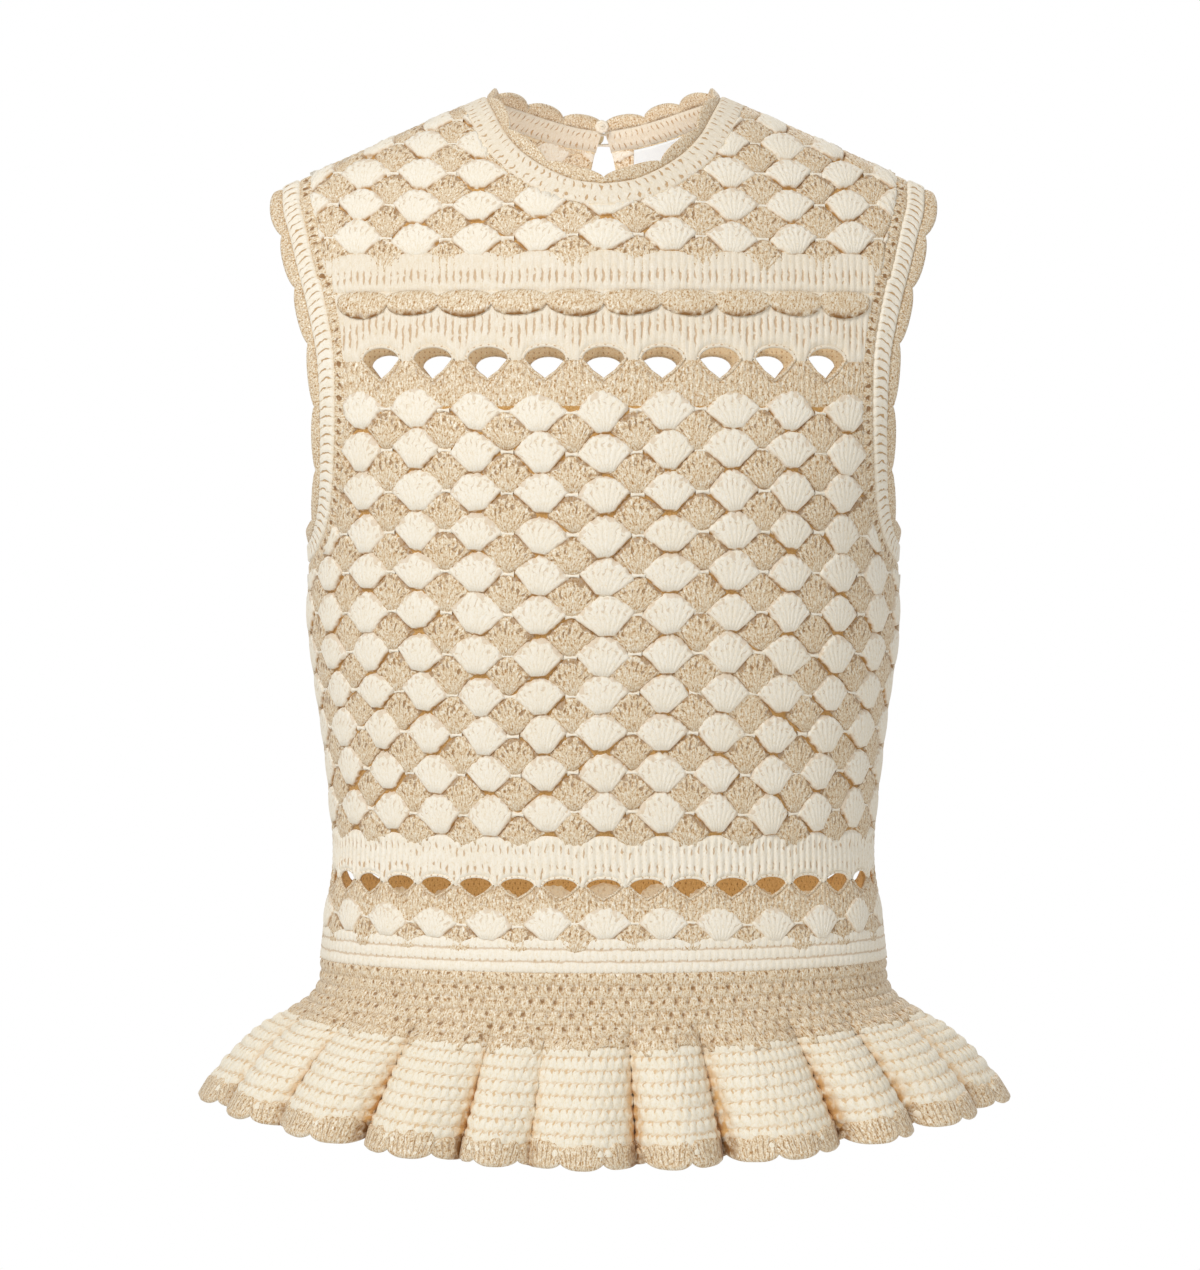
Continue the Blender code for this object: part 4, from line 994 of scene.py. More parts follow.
class ShellWork:
    """Sets shells on a panel, each a little different, and tucks in their edges."""

    ragged = 0.5 * MM
    past_edge = 13.0 * MM
    shell_reach = 26.0 * MM

    def __init__(self, side: Side, outline: Outline, seed: int) -> None:
        """Hold the panel's side and outline."""
        self.side = side
        self.outline = outline
        self.random = np.random.default_rng(seed)

    @staticmethod
    def wander(flat: Array) -> Array:
        """Flat points moved a little, as rows made by hand wander."""
        g, r = flat[..., 0] / MM, flat[..., 1] / MM
        aside = 0.35 * np.sin(g / 4.7 + 2.1 * np.sin(r / 13)) + 0.9 * np.sin(r / 31 + g / 90)
        up = 0.35 * np.sin(r / 4.1 + 2.3 * np.sin(g / 11))
        up = up + 1.2 * np.sin(g / 27 + 1.3 * np.sin(r / 53))
        return flat + joined(aside, up) * MM

    def scatter(self, rows: list, form: ShellForm) -> tuple[Array, Array, Array, Array]:
        """Flat points, lifts, strands and what is past the edge, of every shell."""
        offsets, lifts, strands, _ = form.template()
        centres = np.concatenate([joined(row.girths, row.rise) for row in rows])
        scales = np.concatenate([np.tile(row.scale, (len(row.girths), 1)) for row in rows])
        inside = self.outline.inside(centres)
        kept = inside | (self.outline.nearest(centres)[1] < self.past_edge)
        centres, scales = centres[kept], scales[kept]
        number = len(centres)
        scales = scales * (1 + self.random.uniform(-0.09, 0.06, (number, 2)))
        turn = self.random.uniform(-0.12, 0.12, number)[:, None, None]
        shift = self.random.uniform(-0.8, 0.8, (number, 2)) * MM
        x = offsets[..., 0] * scales[:, None, None, 0]
        y = offsets[..., 1] * scales[:, None, None, 1]
        ends = self.random.uniform(-1, 1, (number, 1, x.shape[2])) * strands[None, ..., 1] ** 6
        sides = self.random.uniform(-1, 1, (number, x.shape[1], 1))
        sides = sides * np.abs(offsets[..., 0] / form.half_width) ** 4
        x, y = x + self.ragged * sides, y + self.ragged * ends
        turned = joined(x * np.cos(turn) - y * np.sin(turn), x * np.sin(turn) + y * np.cos(turn))
        flat = self.wander(turned + (centres + shift)[:, None, None, :])
        near = self.outline.nearest(centres)[1] < self.shell_reach
        lost = np.zeros(flat.shape[:-1], dtype=bool)
        clipped = self.outline.clip(flat[near])
        lost[near] = np.any(clipped != flat[near], axis=-1)
        flat[near] = clipped
        tall = 1 + self.random.uniform(-0.1, 0.1, number)[:, None, None]
        turns = self.random.integers(0, 40, (number, 1, 1, 1)) * np.array([8.0, 0.0])
        return flat, np.where(lost, 0.2 * MM, lifts[None] * tall), strands[None] + turns, lost

    def add(self, work: Stitchwork, rows: list, form: ShellForm, inward: bool = False) -> None:
        """Add the shells of some rows to a piece, on its face or on its back."""
        flat, lifts, strands, lost = self.scatter(rows, form)
        signed = -lifts - 0.4 * MM if inward else lifts
        points, normals = BODY.place(flat, self.side, signed)
        # Painted rim shade of each shell, for the mesh's shade map.
        shade = form.template()[3][None]
        work.add_grid(points, -normals if inward else normals, strands, 0, False, shade, lost)


# ---------------------------------------------------------------- body panels
class Eyelets:
    """A row of holes with arched tops and pointed feet."""

    arch_steps = 12
    spring = 0.1
    cheek = (0.27, 0.25)
    rim_lift = 0.6 * MM

    def __init__(self, side: Side, z: float, size: tuple, girths: Array) -> None:
        """Place the holes at lengths round the body."""
        self.side = side
        self.size = size
        self.girths = girths
        self.centre = float(BODY.rise(z, side))

    def shape(self) -> list:
        """Outline of one hole, in shares of its width and height."""
        points = []
        for k in range(self.arch_steps + 1):
            turn = math.pi * k / self.arch_steps
            points.append((math.cos(turn) / 2, self.spring + (0.5 - self.spring) * math.sin(turn)))
        right, below = self.cheek
        corner = [(-0.5, self.spring), (-right, -below), (0.0, -0.5), (right, -below),
                  (0.5, self.spring)]
        for (ax, ay), (bx, by) in zip(corner, corner[1:]):
            points += [(ax + (bx - ax) * t, ay + (by - ay) * t) for t in (1 / 3, 2 / 3, 1.0)]
        return points[:-1]

    def loops(self) -> list:
        """Each hole as a loop on the flat pattern."""
        width, height = self.size
        return [
            [(girth + x * width, self.centre + y * height) for x, y in self.shape()]
            for girth in self.girths
        ]

    def top_edge(self, girth: Array, between: float) -> Array:
        """Rise of the holes' top edge, or of a point between holes."""
        width, height = self.size
        away = np.min(np.abs(girth[:, None] - self.girths), axis=1) / (width / 2)
        arch = self.spring + (0.5 - self.spring) * np.sqrt(np.maximum(1 - away**2, 0))
        dip = between * np.clip((away - 1) / 0.12, 0, 1)
        return self.centre + arch * height - dip

    def low_edge(self, girth: Array, between: float) -> Array:
        """Rise of the holes' lower edge, or of a peak between holes."""
        width, height = self.size
        away = np.min(np.abs(girth[:, None] - self.girths), axis=1) / width
        edge = np.interp(away, (0.0, self.cheek[0], 0.5), (-0.5, -self.cheek[1], self.spring))
        peak = between * np.clip((away - 0.5) / 0.08, 0, 1)
        return self.centre + edge * height + peak

    def add_rims(self, work: Stitchwork, radius: float, upper: bool) -> None:
        """Add the rolled yarn edge of each hole's arch, or of its foot."""
        shape = self.shape()
        arch = self.arch_steps + 1
        chosen = shape[:arch] if upper else shape[arch - 1 :] + shape[:1]
        width, height = self.size
        turns = full_turn(6)
        for girth in self.girths:
            flat = np.array([(girth + x * width, self.centre + y * height) for x, y in chosen])
            along = np.gradient(flat, axis=0)
            beside = unit(joined(along[:, 1], -along[:, 0]))
            ring = flat[None] + beside[None] * (np.cos(turns) * radius)[:, None, None]
            lift = np.broadcast_to((np.sin(turns) * radius)[:, None], ring.shape[:2])
            lift = lift + self.rim_lift
            points, _ = BODY.place(ring, self.side, lift)
            middle = points.mean(axis=0)
            length = np.arange(len(chosen)) * 0.7
            strands = joined(length[:, None], turns[None, :] * 0.3)
            work.add_grid(points.swapaxes(0, 1), (points - middle).swapaxes(0, 1), strands, 1, True)


class PanelCloth:
    """One half of the body between the borders: ground, shells, bands and trim."""

    # Each kind of shell sets its own strength of painted rim shade (line).
    gold_shell = ShellForm(half_width=14.2 * MM, top=11.2 * MM, peak=1.4, foot=10.4 * MM,
                           foot_half=2.6 * MM, height=1.9 * MM, rim=0.4 * MM, reach=2.2 * MM,
                           crown=0.4 * MM, groove=0.3 * MM, frill=0.6 * MM, line=1.0, samples=3)
    cream_back = ShellForm(samples=2, levels=(0.0, 0.1, 0.5, 0.9, 1.0), height=1.3 * MM,
                           rim=0.35 * MM, crown=0.15 * MM, groove=0.3 * MM,
                           half_width=15.4 * MM, line=0.5)
    gold_back = ShellForm(samples=2, levels=cream_back.levels, height=0.95 * MM, rim=0.35 * MM,
                          crown=0.1 * MM, groove=0.2 * MM, half_width=16.0 * MM,
                          top=11.2 * MM, frill=0.0, line=0.3)
    names = ("{}_panel", "{}_cloth", "{}_cream_shells", "{}_gold_shells")
    stitches = (Stitch.SHELL, Stitch.TREBLE)
    seed = 11
    columns = 13
    full_pitch = 33.0 * MM
    link_reach = 13.2 * MM
    row_pitch = 21.18 * MM
    shell_rows = 11
    lowest_shell = -385.0 * MM
    yoke_shell = -83.7 * MM
    yoke_half_rows = 11
    underarm = -240.0 * MM
    waist = -398.0 * MM
    waist_tuck = 5.5 * MM
    neck_band = 13.0 * MM
    armhole_reach = 22.0 * MM
    armhole_tuck = 1.6 * MM
    ground_spacing = 4.6 * MM
    ground_lift = 0.5 * MM
    slit = ((6.0, 5.6), (14.0, 6.9), (26.0, 7.8), (40.0, 7.6), (54.0, 6.0), (63.0, 3.4))
    slit_tip = 67.0 * MM
    slit_foot = 4.5 * MM
    seam_foot = -468.8 * MM
    crest_ends = (74.0 * MM, 156.5 * MM)
    treble_pitch = 4.0 * MM
    gold_pitch = 3.4 * MM
    band_heights_mm = (-90.0, -112.7, -111.6, -173.0)
    eyelet_z = -149.8 * MM
    eyelet_size = (23.4 * MM, 18.8 * MM)
    eyelet_pitch = 30.5 * MM
    eyelet_count = 9

    def __init__(self, side: Side, neck: EdgeLine, armhole: EdgeLine) -> None:
        """Work out the panel's outline and eyelets."""
        self.side = side
        self.neck = neck
        self.armhole = armhole
        self.outline = Outline(self._loop(self.waist, self.armhole_reach - self.armhole_tuck))
        self.shell_outline = Outline(self._loop(self.waist - self.waist_tuck, self.armhole_reach))
        self.set_eyelets(self.eyelet_pitch)

    def set_eyelets(self, pitch: float) -> None:
        """Spread the eyelets evenly to both sides of the centre."""
        places = np.arange(self.eyelet_count) - (self.eyelet_count - 1) / 2
        self.eyelets = Eyelets(self.side, self.eyelet_z, self.eyelet_size, places * pitch)

    def level(self, z: float) -> float:
        """Length up the cloth to height z."""
        return float(BODY.rise(z, self.side))

    def flat(self, x: float, z: float) -> tuple[float, float]:
        """Flat place of the body's point at (x, z)."""
        return BODY.girth(x, z, self.side), self.level(z)

    def _loop(self, waist: float, reach: float) -> list:
        """Outline on the flat pattern, by its waist's height and distance from the armhole."""
        half = []
        points, _ = self.neck.offset(np.full(len(self.neck.places), self.neck_band))
        chosen = (self.neck.sides == self.side) | (self.neck.kinds == "crest")
        run = [points[k] for k in range(len(points) // 2 + 1) if chosen[k]]
        if self.side == Side.FRONT:
            run = run[::-1]
            half += [(float(p[0]), float(p[2])) for p in run[1:]]
        else:
            start = self.level(points[0][2])
            downs, widths = columns_of(self.slit, MM)
            slit = [(self.slit_foot, float(points[0][2]))]
            slit += [(w, float(BODY.height(start - d, self.side))) for d, w in zip(downs, widths)]
            half += slit[::-1]
            half += [(float(p[0]), float(p[2])) for p in run if p[0] > self.slit_foot + MM]
        arm, _ = self.armhole.offset(np.full(len(self.armhole.places), reach))
        count = len(arm)
        order = [int(self.side == Side.FRONT or -1) * k % count for k in range(count // 2 + 1)]
        rim = [(float(arm[k][0]), float(arm[k][2])) for k in order]
        ahead, end = half[-1][0], rim[0][0]
        for k in range(1, 12):
            x = ahead + (end - ahead) * k / 12
            half.append((x, float(BODY.crest(x)) - 0.02 * MM))
        half += rim
        top = rim[-1][1]
        for k in range(1, 31):
            z = top + (waist - top) * k / 30
            half.append((float(BODY.half_width(z)), z))
        limit = BODY.limit(waist, self.side)
        level = self.level(waist)
        right = [self.flat(x, min(z, float(BODY.crest(x)) - 0.02 * MM)) for x, z in half]
        right += [(limit * k / 20, level) for k in range(19, 0, -1)]
        left = [(-g, r) for g, r in reversed(right)]
        loop = right + [(0.0, level)] + left
        if self.side == Side.FRONT:
            return loop + [self.flat(0.0, float(points[len(points) // 2][2]))]
        return loop + [(0.0, self.level(points[0][2]) - self.slit_tip)]

    def pitch(self, rise: float) -> float:
        """Width of one pattern column at a rise."""
        z = min(float(BODY.height(rise, self.side)), self.underarm)
        return BODY.limit(z, self.side) / (self.columns / 2)

    def shell_row(self, rise: float, odd: int, tall: float = 1.0) -> ShellRow:
        """Row of shells at a rise, on the even columns or on the odd ones."""
        pitch = self.pitch(rise)
        halves = np.arange(-self.columns - 2, self.columns + 3)
        girths = halves[(halves + odd) % 2 == 0] * pitch / 2
        return ShellRow(girths, rise, (pitch / self.full_pitch, tall))

    def shell_lists(self) -> tuple[list, list]:
        """Rows of cream shells and rows of gold shells."""
        rows: tuple[list, list] = ([], [])
        runs = ((self.lowest_shell, 2 * self.shell_rows - 1),
                (self.yoke_shell, self.yoke_half_rows + 2))
        for z, end in runs:
            for number in range(-1, end):
                rise = self.level(z) + number * self.row_pitch / 2
                rows[number % 2].append(self.shell_row(rise, number))
        return rows

    def add_links(self, work: Stitchwork, rows: list) -> None:
        """Add the short chains that join neighbouring cream shells."""
        u = np.linspace(-1, 1, 7)[None, :]
        v = np.linspace(-1, 1, 5)[:, None]
        u, v = np.broadcast_arrays(u, v)
        for row in rows:
            middles = (row.girths[:-1] + row.girths[1:]) / 2
            half = (row.girths[1] - row.girths[0]) / 2 - self.link_reach * row.scale[0]
            centres = joined(middles, row.rise)
            kept = self.outline.inside(centres) & (self.outline.nearest(centres)[1] > 4 * MM)
            centres = centres[kept]
            if not len(centres):
                continue
            tall = (0.9 + 1.1 * np.abs(u) ** 1.5) * MM
            x, y = (centres[:, None, None, k] for k in range(2))
            flat = joined(x + u * half, y + v * tall)
            flat = ShellWork.wander(flat)
            lift = (0.2 + (2.0 - 0.5 * np.abs(u)) * np.sqrt(np.maximum(1 - v**2, 0))) * MM
            lift = np.broadcast_to(lift, flat.shape[:-1])
            points, normals = BODY.place(flat, self.side, lift)
            strands = joined(v * 0.45 + 0.5, 0.3 + 0.2 * u)
            work.add_grid(points, normals, strands)

    def add_band(self, work: Stitchwork, girth: Array, low: Array | float, high: Array | float,
                 rows: int, lift: Callable, pitch: float, slot: int = 1, courses: int = 1,
                 level: bool = False) -> None:
        """Add a band of upright posts.

        Args:
            work: the piece that it goes into.
            girth: columns, as lengths round the body.
            low: rise of its lower edge, at each column or at all.
            high: rise of its upper edge.
            rows: number of rows of faces.
            lift: function of post share and share up that gives the lift.
            pitch: width of a post.
            slot: material slot.
            courses: rows of stitches, one over the other.
            level: whether its rows stay level where its upper edge dips.
        """
        t = shares(rows)
        low, high = np.broadcast_arrays(low, high, girth)[:2]
        x, rise = np.broadcast_arrays(girth[None, :], low[None, :] + (high - low)[None, :] * t)
        flat = self.outline.clip(joined(x, rise))
        share, up = np.broadcast_arrays(girth[None, :] / pitch, t)
        if level:
            up = (rise - low[None]) / (high.max() - low[None])
        gone = np.hypot(flat[..., 0] - x, flat[..., 1] - rise) > 0.01 * MM
        edge = self.outline.nearest(flat.reshape(-1, 2))[1].reshape(x.shape)
        fade = np.where(gone, 0.0, rounded(edge, 2.5 * MM))
        raised = 0.2 * MM + (lift(share, up) - 0.2 * MM) * fade
        points, normals = BODY.place(flat, self.side, raised)
        work.add_grid(points, normals, joined(share, up * courses), slot)

    def band_columns(self, rises: list, pitch: float) -> Array:
        """Columns of a band, five to a post, out to the panel's edges."""
        reach = max(BODY.limit(float(BODY.height(rise, self.side)), self.side) for rise in rises)
        steps = int(reach / pitch * 5) + 1
        return np.arange(-steps, steps + 1) * pitch / 5

    def treble_lift(self, share: Array, up: Array) -> Array:
        """Lift of a row of tall posts, with slits between them."""
        edge = rounded(np.minimum(up, 1 - up), 0.12)
        post = ridge(share, 2.6)
        slit = (1 - ridge(share, 0.9)) * np.sin(math.pi * np.clip((up - 0.08) / 0.6, 0, 1))
        slit = slit * (0.55 + 0.45 * np.sin(2.3 * np.floor(share) ** 2))
        return (0.3 + 1.5 * edge + 0.4 * post * edge - 0.55 * slit) * MM

    def gold_lift(self, share: Array, up: Array) -> Array:
        """Lift of the gold row round the eyelets' feet."""
        edge = rounded(np.minimum(up * 0.45, 1 - up), 0.2)
        return (0.3 + 1.2 * edge + 0.45 * ridge(share, 2.0) * edge) * MM

    def arcs(self, girth: Array, rise: float, depth: float) -> Array:
        """Scalloped upper edge with its peaks on the cream columns."""
        pitch = self.pitch(rise)
        return rise - depth * (1 - np.abs(np.cos(math.pi * girth / pitch)) ** 0.8)

    def add_bands(self, cream_work: Stitchwork, gold_work: Stitchwork) -> None:
        """Add the two treble bands and the gold row between the eyelets."""
        level = [self.level(z * MM) for z in self.band_heights_mm]
        pitch = self.treble_pitch
        girth = self.band_columns(level[1:2], pitch)
        self.add_band(cream_work, girth, level[1], self.arcs(girth, level[0], 4.5 * MM), 12,
                      self.treble_lift, pitch)
        lower = self.eyelets.top_edge(girth, 2.5 * MM) + 0.2 * MM
        self.add_band(cream_work, girth, lower, level[2], 14, self.treble_lift, pitch)
        upper = self.eyelets.low_edge(girth, 1.6 * MM) - 0.2 * MM
        self.add_band(gold_work, girth, level[3], upper, 8, self.gold_lift, self.gold_pitch)
        self.eyelets.add_rims(cream_work, 1.0 * MM, True)
        self.eyelets.add_rims(gold_work, 1.0 * MM, False)

    def ground(self, work: Stitchwork) -> float:
        """Add the thin cloth that the stitches stand on; its area, measured on the body."""
        outline, spacing = self.outline, self.ground_spacing
        holes = [Outline(loop) for loop in self.eyelets.loops()]
        loops = [ring.start.tolist() for ring in (outline, *holes)]
        low, high = outline.start.min(axis=0), outline.start.max(axis=0)
        inner = []
        for number, rise in enumerate(np.arange(low[1], high[1], spacing * 0.87)):
            shift = spacing / 2 * (number % 2)
            inner += [(g + shift, rise) for g in np.arange(low[0], high[0], spacing)]
        inner = np.array(inner)
        clear = outline.inside(inner) & (outline.nearest(inner)[1] > 0.55 * spacing)
        for hole in holes:
            clear &= ~hole.inside(inner) & (hole.nearest(inner)[1] > 0.35 * spacing)
        points = [tuple(p) for loop in loops for p in loop] + [tuple(p) for p in inner[clear]]
        edges, start = [], 0
        for loop in loops:
            edges += [(start + k, start + (k + 1) % len(loop)) for k in range(len(loop))]
            start += len(loop)
        scaled = [Vector((g / MM, r / MM)) for g, r in points]
        corners, _, faces, *_ = delaunay_2d_cdt(scaled, edges, [], 0, 1e-6)
        flat = np.array([(c[0], c[1]) for c in corners]) * MM
        faces = np.array([list(face) for face in faces])
        centre = flat[faces].mean(axis=1)
        kept = outline.inside(centre)
        for hole in holes:
            kept &= ~hole.inside(centre)
        faces = faces[kept]
        outer, normals = BODY.place(flat, self.side, self.ground_lift)
        inner_side, _ = BODY.place(flat, self.side, -HALF_WALL)
        a, b, c = (outer[faces[:, k]] for k in range(3))
        turned = np.cross(b - a, c - a)
        if np.sum(turned * normals[faces[:, 0]]) < 0:
            faces = faces[:, ::-1]
        strands = flat / (3.0 * MM)
        first = work.add_triangles(outer, strands, faces)
        second = work.add_triangles(inner_side, strands, faces[:, ::-1], 1)
        pairs = np.concatenate([faces[:, [0, 1]], faces[:, [1, 2]], faces[:, [2, 0]]])
        sides = dict.fromkeys(map(tuple, pairs.tolist()))
        rims = [[first + b, first + a, second + a, second + b]
                for a, b in sides if (b, a) not in sides]
        work.keep(np.array(rims), 0)
        return float(np.linalg.norm(turned, axis=1).sum() / 2)

    def add_seams(self, work: Stitchwork) -> None:
        """Add the stitches that join the front to the back."""
        if self.side == Side.FRONT:
            seams = SeamStitches(work)
            seams.add(BODY.across_seam, (self.underarm - self.armhole_reach, self.seam_foot))
            seams.add(BODY.across_crest, self.crest_ends)

    def inside(self) -> Material:
        """Finish of the wrong side."""
        return lining(Stitch.TREBLE)

    def make(self) -> None:
        """Make the cloth, the cream stitches on it and the gold ones."""
        cloth, creams, golds = Stitchwork(), Stitchwork(), Stitchwork()
        area = self.ground(cloth)
        shells = ShellWork(self.side, self.shell_outline, self.seed + self.side)
        cream_rows, gold_rows = self.shell_lists()
        shells.add(creams, cream_rows, ShellForm())
        shells.add(golds, gold_rows, self.gold_shell)
        self.add_links(creams, cream_rows)
        self.add_bands(creams, golds)
        shells.add(creams, cream_rows, self.cream_back, True)
        shells.add(golds, gold_rows, self.gold_back, True)
        self.add_seams(golds)
        node, *names = [name.format(self.side.name.lower()) for name in self.names]
        shine = [gold(Stitch.SHELL_UNDER), gold(Stitch.SHELL)]
        # The cloth's face is a dark painted-shade sheet that shows between the stitches; its wrong
        # side is the lining, painted warm with bounced light.
        base = cloth.build(names[0], [honey(Stitch.PLAIN), self.inside()], "gold_yarn", (node,))
        over = [creams.build(names[1], [cream(stitch) for stitch in self.stitches], "cream_yarn"),
                golds.build(names[2], shine, "gold_yarn")]


class SeamStitches:
    """Gold slip stitches that join the front to the back at sides and shoulders."""

    half_width = 2.3 * MM
    pitch = 4.2 * MM

    def __init__(self, work: Stitchwork) -> None:
        """Hold the piece that they are worked into."""
        self.work = work
        self.across = np.linspace(-1, 1, 9)[None, :]

    def add(self, place: Callable, ends: tuple) -> None:
        """Add the stitches of one seam and of its mirror image.

        Args:
            place: function of distance along the seam and across it that gives points.
            ends: where the seam starts and stops.
        """
        count = round(abs(ends[1] - ends[0]) / self.pitch * 4) + 1
        along = np.linspace(*ends, count)[:, None]
        along, y = np.broadcast_arrays(along, self.across * self.half_width)
        points = place(along, y)
        normals = unit(np.cross(np.gradient(points, axis=0), np.gradient(points, axis=1)))
        normals *= np.sign(normals[..., :1])
        number = np.arange(count)[:, None] / 4 + 0.7 * np.abs(self.across)
        lift = 0.3 + (1.5 + 0.6 * ridge(number, 2.0)) * np.sqrt(1 - self.across**2)
        points = points + normals * (lift * MM)[..., None]
        strands = joined(number, self.across / 2 + 0.5)
        for mirror in ((1.0, 1.0, 1.0), (-1.0, 1.0, 1.0)):
            self.work.add_grid(points * mirror, normals * mirror, strands, 1)


class ChestTrim:
    """Raised gold rib across the chest, of lens-shaped lobes."""

    top = -112.9 * MM
    low = -121.2 * MM
    dip = 4.8 * MM
    rise = 2.0 * MM
    lobes = 10
    steps = 16
    end_gap = 1.0 * MM

    def __init__(self, side: Side, armhole: EdgeLine) -> None:
        """Find how far the trim reaches between the armholes."""
        self.side = side
        reach = PanelCloth.armhole_reach + self.end_gap
        points, _ = armhole.offset(np.full(len(armhole.places), reach))
        points = points[armhole.sides == side]
        wanted = (self.top + self.low) / 2
        order = np.argsort(points[:, 2])
        width = float(np.interp(wanted, points[order, 2], points[order, 0]))
        self.limit = BODY.girth(width, wanted, side)

    def make(self) -> None:
        """Make the trim."""
        columns = self.lobes * self.steps
        share = np.arange(columns + 1) / self.steps
        bow = np.sin(math.pi * (share % 1.0)) ** 0.5
        uneven = 0.8 * MM * np.sin(share * 2.9)
        high = BODY.rise(self.top + self.rise * (1.5 * bow - 1.0), self.side)
        low = BODY.rise(self.low + 1.2 * MM - (self.dip + 1.2 * MM + uneven) * bow, self.side)
        girth = self.limit * (2 * np.arange(columns + 1) / columns - 1)
        t = shares(8)
        rises = high[None] + (low - high)[None] * t
        flat = joined(girth, rises)
        dome = np.sin(math.pi * np.clip(t, 0.0, 1.0)) ** 0.6
        body = (0.35 + 0.65 * bow[None]) * dome
        stand = (1.8 + 0.8 * t) * MM
        posts = ridge(share * 8, 2.0)[None] * dome * 0.3 * MM
        lift = stand + (0.5 + 1.5 * body) * MM + posts
        outer, normals = BODY.place(flat, self.side, lift)
        inner, _ = BODY.place(flat[::4], self.side, stand[::4])
        strands = joined(share[None] * 8 + t * 0.8, t)
        work = Stitchwork()
        # Painted shadow along the lobes' lower edge.
        shade = np.clip((t - 0.82) * 9, 0, 1.5) * (0.4 + 0.6 * bow[None])
        work.add_wall(outer, inner, strands, normals, False, shade=shade)
        node = f"chest_trim_{self.side.name.lower()}"
        piece = work.build(f"{node}_rib", [gold(Stitch.PLAIN)], "gold_yarn", (node,))


class WaistCloth(PanelCloth):
    """Half of the waist band: treble rows, eyelets, a shell row and a plain edge."""

    top_z = -398.0 * MM
    low_z = -467.5 * MM
    cream_z = -443.4 * MM
    gold_z = -451.2 * MM
    edge_pitch = 4.2 * MM
    band_heights_mm = (-396.5, -447.0, -449.8, -468.8)
    eyelet_z = -424.4 * MM
    eyelet_size = (19.4 * MM, 11.6 * MM)
    eyelet_count = 17
    ground_spacing = 3.8 * MM
    names = ("waist_band_{}", "waist_{}_cloth", "waist_{}_cream_rows", "waist_{}_gold_rows")
    stitches = (Stitch.SHELL, Stitch.DOUBLE, Stitch.SINGLE)
    seed = 31

    def __init__(self, side: Side) -> None:
        """Work out the band's outline and eyelets."""
        self.side = side
        limits = [BODY.limit(z, side) for z in (self.top_z, self.low_z)]
        rises = [self.level(z) for z in (self.top_z, self.low_z)]
        loop = [(limits[0] * k / 40, rises[0]) for k in range(-40, 41)]
        loop += [self._side_point(k / 8) for k in range(1, 8)]
        loop += [(limits[1] * k / 40, rises[1]) for k in range(40, -41, -1)]
        loop += [(-g, r) for g, r in (self._side_point(k / 8) for k in range(7, 0, -1))]
        self.outline = self.shell_outline = Outline(loop)
        raised = [(g, r + 4.0 * MM if r > rises[0] - 0.1 * MM else
                   r - 1.4 * MM if r < rises[1] + 0.1 * MM else r) for g, r in loop]
        self.band_outline = Outline(raised)
        self.set_eyelets(2 * BODY.limit(self.eyelet_z, side) / self.eyelet_count)

    def _side_point(self, share: float) -> tuple[float, float]:
        """Flat place on the side seam."""
        z = self.top_z + (self.low_z - self.top_z) * share
        return BODY.limit(z, self.side), self.level(z)

    def shell_lists(self) -> tuple[list, list]:
        """The band's row of cream shells and the gold one under it."""
        creams = [self.shell_row(self.level(self.cream_z), 0, 0.86)]
        return creams, [self.shell_row(self.level(self.gold_z), 1, 0.8)]

    def pitch(self, rise: float) -> float:
        """Width of one pattern column at a rise."""
        return BODY.limit(float(BODY.height(rise, self.side)), self.side) / (self.columns / 2)

    def single_lift(self, share: Array, up: Array) -> Array:
        """Lift of the plain edge's three rows."""
        rows = up * 3
        edge = rounded(np.minimum(3 * up, 1 - up), 0.08)
        stitch = ridge(share + 0.5 * np.floor(rows), 2.0)
        return (1.0 + 0.5 * edge + 0.85 * ridge(rows, 2.0) * (0.5 + 0.5 * stitch)) * MM

    def double_lift(self, share: Array, up: Array) -> Array:
        """Lift of two rows of posts, one over the other."""
        edge = rounded(np.minimum(up, 1 - up), 0.1)
        rows = up * 2
        slit = (1 - ridge(share, 0.9)) * ridge(rows, 1.5)
        return (0.3 + 1.2 * edge + 0.6 * ridge(share, 2.6) * edge + 0.25 * ridge(rows, 3.0)
                - 0.8 * slit) * MM

    def add_bands(self, cream_work: Stitchwork, gold_work: Stitchwork) -> None:
        """Add the treble rows, the gold row under the eyelets and the plain edge."""
        level = [self.level(z * MM) for z in self.band_heights_mm]
        girth = self.band_columns(level, self.treble_pitch)
        lower = self.eyelets.top_edge(girth, 1.6 * MM) + 0.2 * MM
        outline, self.outline = self.outline, self.band_outline
        self.add_band(cream_work, girth, lower, self.arcs(girth, level[0], 5.0 * MM), 14,
                      self.double_lift, self.treble_pitch, courses=2)
        self.add_band(cream_work, girth, level[3], self.arcs(girth, level[2], 4.2 * MM), 18,
                      self.single_lift, self.edge_pitch, 2, courses=3, level=True)
        self.outline = outline
        upper = self.eyelets.low_edge(girth, 1.0 * MM) - 0.2 * MM
        self.add_band(gold_work, girth, level[1], upper, 9, self.gold_lift, self.gold_pitch)
        self.eyelets.add_rims(cream_work, 0.8 * MM, True)
        self.eyelets.add_rims(gold_work, 0.8 * MM, False)

    def add_seams(self, work: Stitchwork) -> None:
        """None here: the panels' seams run on down to the band's edge."""

    def inside(self) -> Material:
        """Finish of the wrong side."""
        return waist_lining(Stitch.DOUBLE)


# ---------------------------------------------------------------- borders
@dataclass
class BorderRow:
    """One run of a border between two distances from its edge line, in millimetres."""

    name: str
    near: float
    far: float
    pitch: float
    rows: int
    lift: float
    relief: float
    finish: str
    stitch: Stitch
    node: str = ""
    lean: float = 0.0
    courses: int = 1
    scalloped: bool = False


